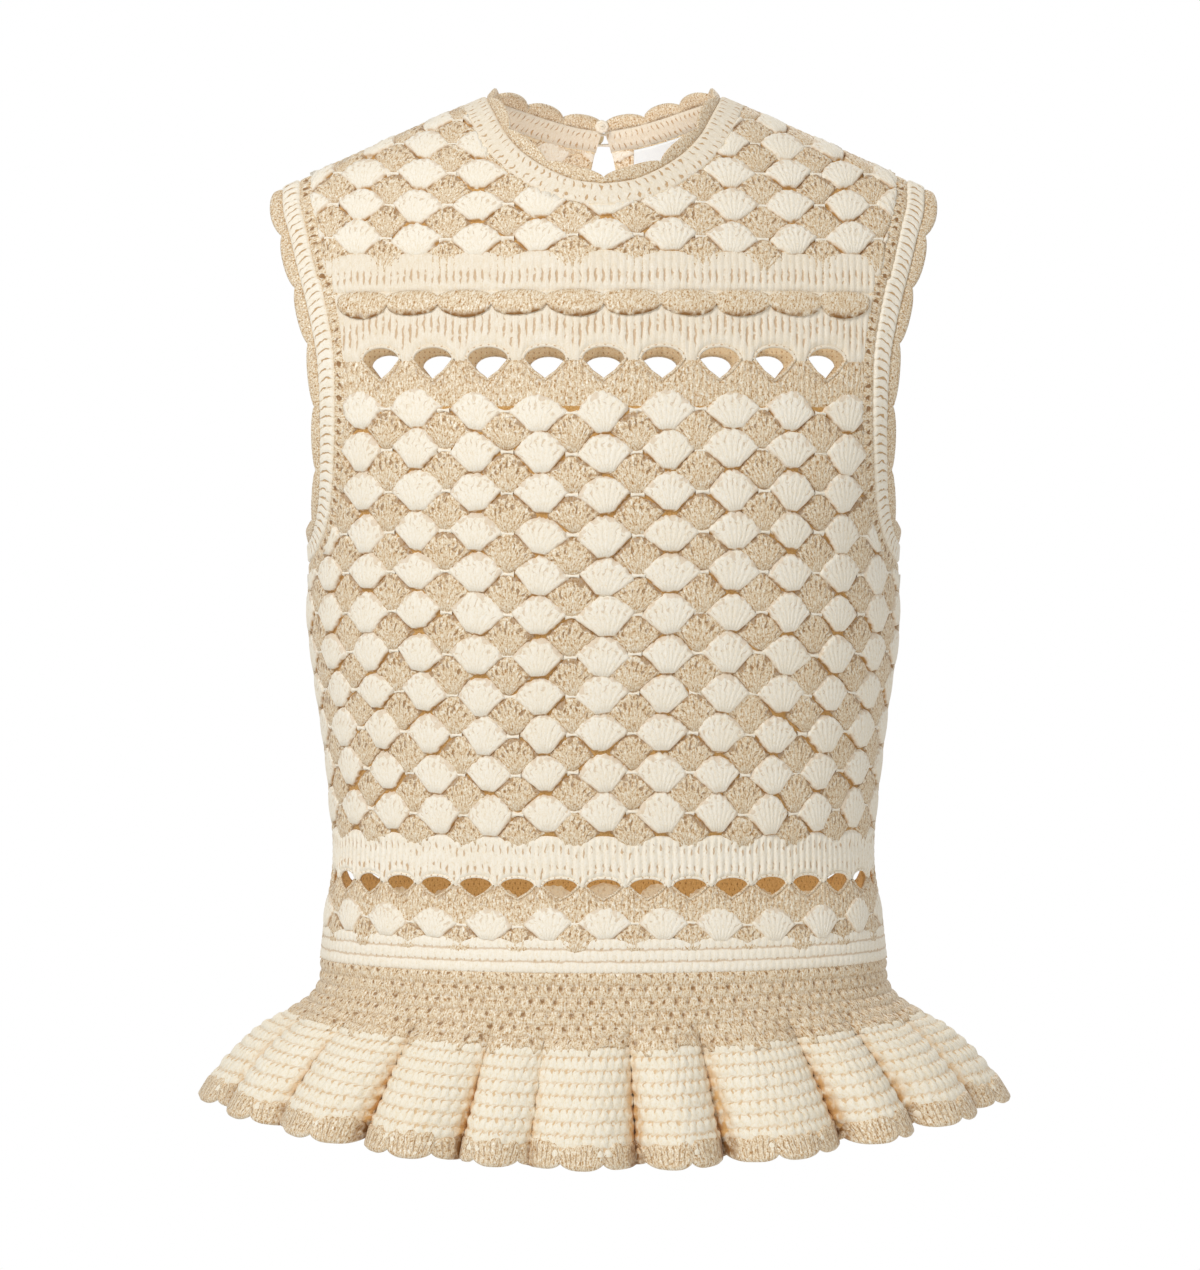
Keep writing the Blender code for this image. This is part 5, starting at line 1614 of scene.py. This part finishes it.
ARMHOLE_ROWS = (
    BorderRow("armhole_{}_scallops", 0.0, 4.9, 2.9, 8, 1.2, 0.35, "gold", Stitch.SHELL,
              "armhole_edging_{}", scalloped=True),
    BorderRow("armhole_{}_cream_rows", 4.6, 15.4, 4.4, 12, 1.5, 0.8, "cream", Stitch.CROSSED,
              "armhole_band_{}", 0.5),
    BorderRow("armhole_{}_gold_row", 15.0, 23.2, 5.0, 8, 1.2, 0.7, "gold", Stitch.ROUND_HOLES),
)
NECK_ROWS = (
    BorderRow("neck_gold_scallops", -2.2, 0.2, 2.9, 8, 1.2, 0.35, "gold", Stitch.SHELL,
              "neck_edging", scalloped=True),
    BorderRow("neck_cream_band", 0.0, 14.2, 3.8, 14, 1.6, 0.6, "cream", Stitch.BORDER,
              "neck_band", 0.3, 2),
)


class Border:
    """Rows of crochet that follow an armhole or the neck."""

    runs = ARMHOLE_ROWS
    scallops = 14
    bump = 3.0 * MM
    stand = 0.0
    width = 15.2 * MM

    def __init__(self, line: EdgeLine, mirror: float = 1.0) -> None:
        """Hold the line that the border follows and place its scallops."""
        self.line = line
        self.mirror = np.array([mirror, 1.0, 1.0])
        count = len(line.places) - (0 if line.closed else 1)
        self.lobe = np.arange(len(line.places)) / count * self.scallops
        self.length = float(path_lengths(line.places)[-1])
        if line.closed:
            self.length += float(np.linalg.norm(line.places[0] - line.places[-1]))

    def open_slit(self, points: Array, distance: Array) -> Array:
        """Points of the neck kept clear of the slit at the nape."""
        return points

    def make_run(self, row: BorderRow, label: str) -> Thing:
        """Make one run.

        Args:
            row: its sizes and finish.
            label: what its name says of the side.

        Returns:
            The new piece.
        """
        near = np.full(len(self.lobe), row.near * MM)
        if row.scalloped:
            near = near - self.bump * ridge(self.lobe, 2.4) ** 0.8
        t = shares(row.rows)
        distance = near[None] + (row.far * MM - near)[None] * t
        places, normals = self.line.offset(distance)
        places = self.open_slit(places, distance)
        total = self.lobe[-1] if not self.line.closed else self.lobe[-1] + self.lobe[1]
        posts = round(self.length / (row.pitch * MM))
        share = self.lobe / total * posts
        leaned = share[None] + row.lean * (t + 0.8 * np.sin(math.pi * t))
        edge = rounded(np.minimum(t, 1 - t) * (row.rows / 2.5), 1.0)
        lift = row.lift * MM * (0.35 + 0.65 * edge) + row.relief * MM * ridge(leaned, 2.2) * edge
        under = np.full_like(lift, -HALF_WALL)
        if row.scalloped:
            lift = lift + self.stand * (1 - t) + 0.5 * MM * ridge(self.lobe, 2.0)[None] * (1 - t)
            under = under + self.stand * (1 - t)
        outer = (places + normals * lift[..., None]) * self.mirror
        thin = np.linspace(0, row.rows, 4).round().astype(int)
        inner = (places + normals * under[..., None]) * self.mirror
        strands = joined(leaned, t * row.courses)
        work = Stitchwork()
        work.add_wall(outer, inner[thin], strands, normals * self.mirror, self.line.closed)
        finish = cream(row.stitch) if row.finish == "cream" else gold(row.stitch)
        nodes = (row.node.format(label),) if row.node else ()
        return work.build(row.name.format(label), [finish], f"{row.finish}_yarn", nodes)

    def make(self, label: str = "") -> None:
        """Make all the runs."""
        edging, band, *others = [self.make_run(row, label) for row in self.runs]


class NeckBorder(Border):
    """The neck's border, parted by the slit at the nape."""

    runs = NECK_ROWS
    bump = 4.3 * MM
    stand = 2.6 * MM
    width = 14.2 * MM
    mouth = 0.6 * MM
    foot = 4.3 * MM
    band = 13.0 * MM

    def open_slit(self, points: Array, distance: Array) -> Array:
        """Points kept clear of the slit."""
        least = self.mouth + (self.foot - self.mouth) * np.clip(distance / self.band, 0, 1)
        at_back = np.broadcast_to(self.line.sides > 0, distance.shape)
        way = np.where(np.arange(len(self.lobe)) < len(self.lobe) / 2, 1, -1)
        way = np.broadcast_to(way, distance.shape)
        x = np.where(at_back & (way * points[..., 0] < least), way * least, points[..., 0])
        moved = BODY.point(x, points[..., 2], np.broadcast_to(self.line.sides, x.shape))
        return np.where((x != points[..., 0])[..., None], moved, points)


# ---------------------------------------------------------------- peplum
PEPLUM_SECTIONS = (
    (0.00, 151.1, -467.8, 105.1, -467.8, 102.1),
    (0.14, 152.4, -481.0, 107.0, -482.0, 104.0),
    (0.27, 159.0, -491.0, 110.0, -495.5, 107.5),
    (0.40, 169.0, -498.5, 113.5, -508.5, 111.0),
    (0.55, 181.0, -506.0, 118.0, -523.5, 116.0),
    (0.70, 192.0, -516.5, 122.5, -538.5, 120.5),
    (0.85, 203.5, -531.0, 126.5, -553.5, 125.0),
    (1.00, 211.4, -545.0, 129.5, -568.0, 128.0),
)
FLUTE_VALLEYS = (
    (-74.0, 0.6), (-56.0, 0.5), (-38.0, 1.0), (-21.4, 0.9), (-10.9, 0.45), (4.8, 1.12),
    (17.9, 1.15), (37.7, 1.1), (52.3, 0.8), (72.0, 0.7), (103.0, 0.9), (118.0, 1.0),
    (137.0, 0.8), (155.0, 1.0), (172.0, 0.9), (190.0, 0.9), (208.0, 1.0), (228.0, 0.8),
    (250.0, 1.0),
)


@dataclass
class Peplum:
    """The fluted skirt below the waist band: gold yoke, cream ruffle, gold edge."""

    drop: float = 102.0 * MM
    yoke_end: float = 0.40
    ruffle_end: float = 0.83
    ruffle_tuck: float = 0.94
    overlap: float = 0.03
    edging_start: float = 0.862
    edging_dip: float = 0.045
    notch: float = 0.036
    flute_start: float = 0.25
    flute_growth: float = 0.75
    flute_height: float = 17.0 * MM
    flute_round: float = 0.0015
    flute_pinch: float = 0.22
    flute_sink: float = 1.426
    yoke_posts: int = 124
    yoke_rows: int = 6
    ruffle_posts: int = 240
    ruffle_rows: float = 6.6
    first_row: float = 0.45
    yoke_seed: int = 8
    ruffle_seed: int = 9
    edging_seed: int = 5
    lobes: int = 48
    columns: int = 960

    def read(self, column: int, share: Array) -> Array:
        """One column of the sections at shares of the drop."""
        table = columns_of(PEPLUM_SECTIONS)
        return smooth_read(table[0], table[column], share) * MM

    def flute(self, angle: Array) -> Array:
        """Wave of the flutes at angles in degrees, low in each valley."""
        angles, depths = columns_of(FLUTE_VALLEYS)
        angles, depths = np.append(angles, angles[0] + 360), np.append(depths, depths[0])
        angle = (angle - angles[0]) % 360 + angles[0]
        k = np.clip(np.searchsorted(angles, angle, side="right") - 1, 0, len(angles) - 2)
        share = (angle - angles[k]) / (angles[k + 1] - angles[k])
        depth = depths[k] * (1 - share) + depths[k + 1] * share
        across = (np.sin(math.pi * share) ** 2 + self.flute_round) / (1 + self.flute_round)
        return depth * (2 * across**self.flute_pinch - self.flute_sink)

    def point(self, angle: Array, share: Array) -> Array:
        """Middle of the cloth at angles round it and shares of its drop."""
        turn = np.radians(angle)
        wide = self.read(1, share)
        deep = np.where(np.cos(turn) > 0, self.read(3, share), self.read(5, share))
        weight = np.sin(turn) ** 2
        z = self.read(2, share) * weight + self.read(4, share) * (1 - weight)
        grown = np.maximum((share - self.flute_start) / (1 - self.flute_start), 0)
        growth = grown**self.flute_growth
        outward = unit(joined(np.sin(turn) / wide, -np.cos(turn) / deep, 0 * z))
        base = joined(wide * np.sin(turn), -deep * np.cos(turn), z)
        return base + outward * (self.flute_height * growth * self.flute(angle))[..., None]

    def spot(self, angle: Array, share: Array) -> tuple[Array, Array]:
        """Points and outward normals of the cloth."""
        along = self.point(angle + 0.2, share) - self.point(angle - 0.2, share)
        down = self.point(angle, np.minimum(share + 0.004, 1.0))
        down = down - self.point(angle, np.maximum(share - 0.004, 0.0))
        return self.point(angle, share), unit(np.cross(down, along))

    def angles(self) -> Array:
        """Angles that part the hem into equal lengths, before its flutes."""
        turns = np.linspace(-180, 180, 1441)
        x = self.read(1, 1.0) * np.sin(np.radians(turns))
        y = (self.read(3, 1.0) + self.read(5, 1.0)) / 2 * np.cos(np.radians(turns))
        lengths = summed(np.hypot(np.diff(x), np.diff(y)))
        return np.interp(lengths[-1] * np.arange(self.columns) / self.columns, lengths, turns)

    def girth(self, share: float) -> float:
        """Length round the cloth at a share of its drop."""
        places = self.point(self.angles(), np.full(self.columns, share))
        return float(np.linalg.norm(places - np.roll(places, -1, axis=0), axis=1).sum())

    def fold(self, angle: Array, share: Array) -> Array:
        """Painted shade in the flutes' valleys, 0 to 1, by how deep the cloth lies there."""
        grown = np.clip((share - self.flute_start) / (self.ruffle_end - self.flute_start), 0, 1)
        return 1.4 * grown * np.clip((-self.flute(angle) - 0.09) / 0.5, 0, 1)

    def tube(self, name: str, share: Array, lift: Array, strands: Array,
             material: Material, slot: str, node: str,
             holes: Array | float = 0.0) -> None:
        """Make one run of the skirt.

        Args:
            name: the piece's name.
            share: rows of shares of the drop.
            lift: distances off the middle surface.
            strands: strand coordinates.
            material: its yarn.
            slot: the record's material slot.
            node: the frame's node that it stands for.
            holes: painted shade in the cloth's holes, 0 to 1, by how open it is at each point.
        """
        angle = np.broadcast_to(self.angles()[None], share.shape)
        places, normals = self.spot(angle, share)
        outer = places + normals * lift[..., None]
        thin = np.linspace(0, len(share) - 1, 6).round().astype(int)
        inner = (places - normals * HALF_WALL)[thin]
        work = Stitchwork()
        # Painted shade: the valleys and the holes.
        work.add_wall(outer, inner, strands, normals, True,
                      shade=np.maximum(self.fold(angle, share), holes))
        work.build(name, [material], slot, (node,))

    def make_yoke(self) -> None:
        """Gold rows with small holes, under the waist band."""
        random = np.random.default_rng(self.yoke_seed)
        posts, rows = self.yoke_posts, self.yoke_rows
        t = shares(40)
        along = np.arange(self.columns)[None] / self.columns * posts
        ragged = random.uniform(-0.028, 0.03, 2 * posts)[(along[0] * 2).astype(int)]
        share = t * (self.yoke_end + ragged[None] * t**4)
        row = t * rows
        shift = along + 0.5 * np.floor(np.minimum(row, rows - 0.01))
        cells = random.uniform(-0.15, 0.8, (rows, posts))
        cells[0] = 0.0
        cell = np.minimum(row, rows - 1).astype(int), np.floor(shift + 0.5).astype(int) % posts
        openness = np.clip(cells[cell] * 2, 0, 1)
        beside = (((shift + 0.5) % 1) - 0.5) / 0.22
        hole = np.clip(1.1 - np.hypot(beside, ((row % 1) - 0.28) / 0.28), 0, 1) * openness
        bulge = ridge(row, 2.0) * 0.7
        lift = (0.9 + bulge + 0.4 * ridge(shift, 2.0) * ridge(row, 2.0) - 1.5 * hole) * MM
        strands = joined(along, row)
        flat = (self.girth(self.yoke_end), self.drop * self.yoke_end)
        # The holes also get painted shade.
        self.tube("peplum_gold_yoke", share, lift, strands, gold(Stitch.HOLED), "gold_yarn",
                  "peplum_yoke", np.clip(hole * 1.4, 0, 0.9))

    def make_ruffle(self) -> None:
        """Cream rows of posts, parted by sunk lines that also carry painted shade."""
        t = shares(40)
        start = self.yoke_end - self.overlap
        share = start + (self.ruffle_tuck - start) * t
        share = np.broadcast_to(share, (41, self.columns))
        posts = self.ruffle_posts
        along = np.arange(self.columns)[None] / self.columns * posts
        row = (share - self.yoke_end) / (self.ruffle_end - self.yoke_end) * self.ruffle_rows
        row = row + self.first_row
        row = row + 0.16 * ridge(along + 0.5 * np.floor(row), 2.0)
        along = along + 0.5 * np.floor(row)
        sizes = np.random.default_rng(self.ruffle_seed).uniform(0.55, 1.2, (11, posts))
        size = sizes[np.floor(row).astype(int) % 11, np.floor(along).astype(int) % posts]
        shown = np.clip((share - start) / self.overlap, 0, 1)
        lump = ridge(row, 2.4) * (0.36 + 0.64 * ridge(along, 2.0)) * size
        lift = (0.3 + shown * (0.2 + 1.5 * lump)) * MM
        strands = joined(along, row)
        flat = (self.girth(self.ruffle_tuck), self.drop * (self.ruffle_tuck - self.yoke_end))
        self.tube("peplum_cream_ruffle", share, lift, strands, ruffle_cream(), "cream_yarn",
                  "peplum_ruffle")

    def make_edging(self) -> None:
        """Gold lobes along the hem, each a fan of posts."""
        t = shares(14)
        lobe = (np.arange(self.columns) / self.columns * self.lobes)[None]
        random = np.random.default_rng(self.edging_seed)
        ragged = random.uniform(-0.022, 0.022, (1, self.columns // 4))
        ragged = np.repeat(ragged, 4, axis=1)
        top = self.edging_start + ragged + self.edging_dip * np.abs(2 * (lobe % 1.0) - 1) ** 8
        low = 1.0 - self.notch * (1 - ridge(lobe, 3.0) ** 0.8)
        share = top + (low - top) * t
        edge = rounded(np.minimum(t, 1 - t), 0.16)
        fan = (((lobe % 1.0) - 0.5) * (0.75 + 0.25 * t) + 0.5) * 5
        body = 0.5 + 0.5 * ridge(lobe, 3.0)
        lift = (0.5 + 1.5 * edge * body + 0.35 * ridge(fan, 2.0) * edge) * MM
        strands = joined(2 * (fan + np.floor(lobe) * 5), t)
        flat = (self.girth(1.0), self.drop * (1.0 - self.ruffle_end))
        self.tube("hem_gold_edging", share, lift, strands, gold(Stitch.FANNED), "gold_yarn",
                  "hem_edging")

    def make(self) -> None:
        """Make the skirt's three pieces."""
        self.make_yoke()
        self.make_ruffle()
        self.make_edging()


# ---------------------------------------------------------------- nape closure
@dataclass
class NapeClosure:
    """Button, cord loop and blank label at the back of the neck."""

    place: tuple = (-5.0 * MM, -25.0 * MM)
    standoff: float = 0.3 * MM
    loop_turn: float = 2.75 * MM
    loop_length: float = 8.5 * MM
    loop_radius: float = 0.8 * MM
    knot_place: tuple = (-0.9 * MM, -17.0 * MM)
    knot_level: float = -19.0 * MM
    knot_inset: float = 2.6 * MM
    knot_turns: tuple = ((2.5 * MM, 2.3 * MM), (0.9 * MM, 0.7 * MM))
    label_span: tuple = (17.0 * MM, 55.0 * MM)
    label_drop: float = 14.0 * MM
    label_depth: float = 23.0 * MM
    label_lifts: tuple = (1.75 * MM, 2.35 * MM)
    button_profile: tuple = (
        (0.05, 0.0), (1.6, 0.0), (1.6, 1.2), (1.7, 2.3), (4.7, 2.35), (5.3, 2.7), (5.5, 3.1),
        (5.4, 3.5), (5.0, 3.85), (4.4, 3.8), (3.8, 3.7), (3.0, 4.2), (1.8, 4.55), (0.05, 4.7),
    )

    def make_button(self) -> None:
        """Domed button on its shank."""
        x, z = self.place
        base = BODY.point(x, z, Side.BACK)
        normal = BODY.normal(x, z, Side.BACK)
        right = unit(np.array([1.0, 0.0, 0.0]) - normal * normal[0])
        up = np.cross(normal, right)
        base = base + normal * (HALF_WALL + self.standoff)
        radii, heights = columns_of(self.button_profile, MM)
        turns = full_turn(40)
        arm = np.cos(turns)[:, None] * right + np.sin(turns)[:, None] * up
        points = base + arm[None] * radii[:, None, None] + normal * heights[:, None, None]
        work = Stitchwork()
        strands = joined(turns[None] * 2, heights[:, None] / MM)
        work.add_grid(points, points - (base + normal * 2.5 * MM), strands, closed=True)
        material, tree, shader = new_material("cream_casein_button")
        coords = add_node(tree, "ShaderNodeTexCoord", {}).outputs["Object"]
        cloud = add_noise(tree, coords, 350.0, 3.0)
        ramp = add_node(tree, "ShaderNodeValToRGB", {0: cloud}, stops=(
            (0.35, linear("#D9C49A")), (0.65, linear("#F5EAD2")),
        ))
        fill(shader, {"Base Color": ramp.outputs[0], "Roughness": 0.3, "IOR": 1.5})
        work.build("nape_domed_button", [material], "cream_yarn", ("nape_button",))

    def add_knot(self, work: Stitchwork) -> None:
        """Coil the cord's end into a flat knot that closes the slit at the edge of the neck."""
        x, z = self.knot_place
        behind = float(BODY.point(x, self.knot_level, Side.BACK)[1]) - self.knot_inset
        turns = full_turn(32)[:, None]
        ring = full_turn(8)[None, :]
        for number, (wide, high) in enumerate(self.knot_turns):
            thick = (1.3 + 0.15 * np.cos(8 * turns + ring)) * MM
            out = thick * np.cos(ring)
            arm = joined(out * np.cos(turns), thick * np.sin(ring), out * np.sin(turns))
            depth = behind - 0.6 * MM * number
            centre = joined(x + wide * np.cos(turns), depth, z + high * np.sin(turns))
            strands = joined(ring / math.pi, turns * 1.3)
            points = centre + arm
            work.add_grid(np.concatenate([points, points[:1]]), np.concatenate([arm, arm[:1]]),
                          np.concatenate([strands, strands[:1]]), closed=True)

    def make_loop(self) -> None:
        """Cord loop round the button's shank."""
        turn, long = self.loop_turn, self.loop_length
        route = [(long, turn), (long * 0.8, turn), (long * 0.55, turn), (long * 0.3, turn)]
        for k in range(17):
            angle = math.pi / 2 + math.pi * k / 16
            route.append((turn * math.cos(angle), turn * math.sin(angle)))
        route += [(long * 0.3, -turn), (long * 0.55, -turn), (long * 0.8, -turn), (long, -turn)]
        offsets = np.array(route)
        x, z = self.place[0] + offsets[:, 0], self.place[1] + offsets[:, 1]
        normal = BODY.normal(x, z, Side.BACK)
        lift = HALF_WALL + self.standoff + self.loop_radius
        centre = BODY.point(x, z, Side.BACK) + normal * lift
        ahead = np.gradient(centre, axis=0)
        across = unit(np.cross(normal, ahead))
        turns = full_turn(12)
        arm = across[:, None] * np.cos(turns)[:, None] + normal[:, None] * np.sin(turns)[:, None]
        twist = 1 + 0.12 * np.cos(turns[None] * 2 + np.arange(len(route))[:, None] * 1.1)
        points = centre[:, None] + arm * self.loop_radius * twist[..., None]
        strands = joined(turns[None] / math.pi, np.arange(len(route))[:, None] * 0.6)
        work = Stitchwork()
        work.add_grid(points, arm, strands, closed=True)
        self.add_knot(work)
        work.build("nape_cord_loop", [cream(Stitch.PLAIN)], "cream_yarn", ("nape_loop",))

    def make_label(self, neck: EdgeLine) -> None:
        """Blank satin label under the neck band, inside the back."""
        points, _ = neck.offset(np.full(len(neck.places), self.label_drop))
        back = points[: len(points) // 4]
        x = np.linspace(self.label_span[0], self.label_span[1], 41)
        top = BODY.rise(np.interp(x, back[:, 0], back[:, 2]), Side.BACK)
        t = shares(12)
        rise = top[None] - self.label_depth * t
        z = BODY.height(rise, Side.BACK)
        across = np.broadcast_to(x[None], z.shape)
        normal = BODY.normal(across, z, Side.BACK)
        base = BODY.point(across, z, Side.BACK)
        wave = 0.25 * MM * np.sin(across / (9 * MM)) * t
        near, far = (base - normal * (lift + wave)[..., None] for lift in self.label_lifts)
        strands = joined(across / MM, t * 23)
        work = Stitchwork()
        work.add_wall(far, near, strands, -normal, False)
        material, tree, shader = new_material("white_woven_satin")
        strand = add_node(tree, "ShaderNodeUVMap", {}, uv_map="strands").outputs[0]
        weave = add_node(tree, "ShaderNodeTexWave", {
            "Vector": strand, "Scale": 1.2, "Distortion": 0.6, "Detail": 1.0,
        }, bands_direction="Y")
        ramp = add_node(tree, "ShaderNodeValToRGB", {0: weave.outputs["Fac"]}, stops=(
            (0.0, linear("#EEF5FC")), (1.0, linear("#F8FDFF")),
        ))
        bump = add_node(tree, "ShaderNodeBump", {
            "Height": weave.outputs["Fac"], "Strength": 0.15, "Distance": 0.1 * MM,
        })
        fill(shader, {"Base Color": ramp.outputs[0], "Normal": bump.outputs[0],
                      "Roughness": 0.45, "Sheen Weight": 0.2})
        piece = work.build("neck_blank_label", [material], "white_satin", ("neck_label",))

    def make(self, neck: EdgeLine) -> None:
        """Make the three pieces."""
        self.make_button()
        self.make_loop()
        self.make_label(neck)


# ---------------------------------------------------------------- studio
class Studio:
    """Pale floor, soft light and the camera."""

    frame_width = 0.648
    camera_distance = 3.0
    camera_height = -0.221
    aim_height = -0.294
    aim_side = -0.0019
    floor_height = -1.3
    floor_sides = 96
    light_aim = (0.0, 0.0, -0.28)
    glow_radius = 0.04
    surround = 0.5

    def make_world(self) -> None:
        """White surroundings: plain where seen, weaker and a little warm as light."""
        world = bpy.data.worlds.new("white_surroundings")
        world.use_nodes = True
        tree = world.node_tree
        light = tree.nodes["Background"]
        fill(light, {"Color": linear("#FFFEFB"), "Strength": self.surround})
        seen = add_node(tree, "ShaderNodeBackground", {"Color": (1.0, 1.0, 1.0, 1.0)})
        path = add_node(tree, "ShaderNodeLightPath", {})
        mixed = add_node(tree, "ShaderNodeMixShader", {
            0: path.outputs["Is Camera Ray"], 1: light.outputs[0], 2: seen.outputs[0],
        })
        fill(tree.nodes["World Output"], {"Surface": mixed.outputs[0]})
        bpy.context.scene.world = world

    def make_floor(self) -> None:
        """Round pale floor far below the garment, which a wearer would stand on."""
        count = self.floor_sides
        turns = full_turn(count)
        radii = np.array([0.01, 1.2, 2.4])[:, None]
        points = joined(radii * np.cos(turns), radii * np.sin(turns), self.floor_height)
        k, start = np.arange(count), np.array([[0], [count]])
        after = (k + 1) % count
        quads = joined(start + k, start + after, start + count + after, start + count + k)
        faces = quads.reshape(-1, 4).tolist() + [k.tolist()]
        mesh = bpy.data.meshes.new("floor")
        mesh.from_pydata(points.reshape(-1, 3).tolist(), [], faces)
        material, _, shader = new_material("matt_white_floor")
        fill(shader, {"Base Color": linear("#FAFAF8"), "Roughness": 0.9})
        mesh.materials.append(material)
        new_object("floor", mesh)

    def add_lamp(self, name: str, kind: str, power: float, tint: str, place: tuple,
                 size: float) -> Thing:
        """A light of the stage, square or round."""
        light = bpy.data.lights.new(name, kind)
        light.energy = power
        light.color = linear(tint)[:3]
        setattr(light, "size" if kind == "AREA" else "shadow_soft_size", size)
        lamp = new_object(name, light)
        lamp.location = place
        return lamp

    def add_softbox(self, name: str, place: tuple, size: float, power: float, tint: str) -> None:
        """A square soft light aimed at the middle of the garment."""
        lamp = self.add_lamp(name, "AREA", power, tint, place, size)
        aim = Vector(self.light_aim) - lamp.location
        lamp.rotation_euler = aim.to_track_quat("-Z", "Y").to_euler()

    def add_glow(self, name: str, height: float, power: float, tint: str) -> None:
        """Warm light inside the garment, which open stitches let through."""
        lamp = self.add_lamp(name, "POINT", power, tint, (0.0, 0.0, height), self.glow_radius)
        lamp.visible_camera = False

    def make_camera(self) -> None:
        """Long lens from the front, level with the chest."""
        data = bpy.data.cameras.new("camera")
        data.sensor_fit = "HORIZONTAL"
        data.sensor_width = 36.0
        data.lens = data.sensor_width * self.camera_distance / self.frame_width
        camera = new_object("camera", data)
        camera.location = (self.aim_side, -self.camera_distance, self.camera_height)
        tilt = math.atan2(self.aim_height - self.camera_height, self.camera_distance)
        camera.rotation_euler = (math.pi / 2 + tilt, 0.0, 0.0)
        bpy.context.scene.camera = camera

    def make(self) -> None:
        """Set up the whole stage."""
        self.make_world()
        self.make_floor()
        self.add_softbox("key_left", (-1.5, -2.2, 1.6), 1.0, 45.0, "#FFFDF9")
        self.add_softbox("fill_front", (0.5, -2.9, 0.6), 1.2, 9.0, "#FFFFFF")
        self.add_softbox("fill_back", (1.1, 2.6, 1.2), 1.4, 22.0, "#FFFDF9")
        self.add_glow("glow_above", -0.09, 0.105, "#EEF3FF")
        self.add_glow("glow_below", -0.40, 0.08, "#FFE4BC")
        self.make_camera()
        bpy.context.scene.view_settings.view_transform = "Standard"


def main() -> None:
    """Dress the whole frame."""
    logging.basicConfig(level=logging.INFO, format="%(message)s")
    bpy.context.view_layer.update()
    neck = neck_line(NECK_POINTS)
    armhole = armhole_line(ARMHOLE_POINTS)
    for side in Side:
        PanelCloth(side, neck, armhole).make()
        ChestTrim(side, armhole).make()
        WaistCloth(side).make()
    for label, mirror in (("left", 1.0), ("right", -1.0)):
        Border(armhole, mirror).make(label)
    NeckBorder(neck).make()
    Peplum().make()
    NapeClosure().make(neck)
    Studio().make()


if __name__ == "__main__":
    main()
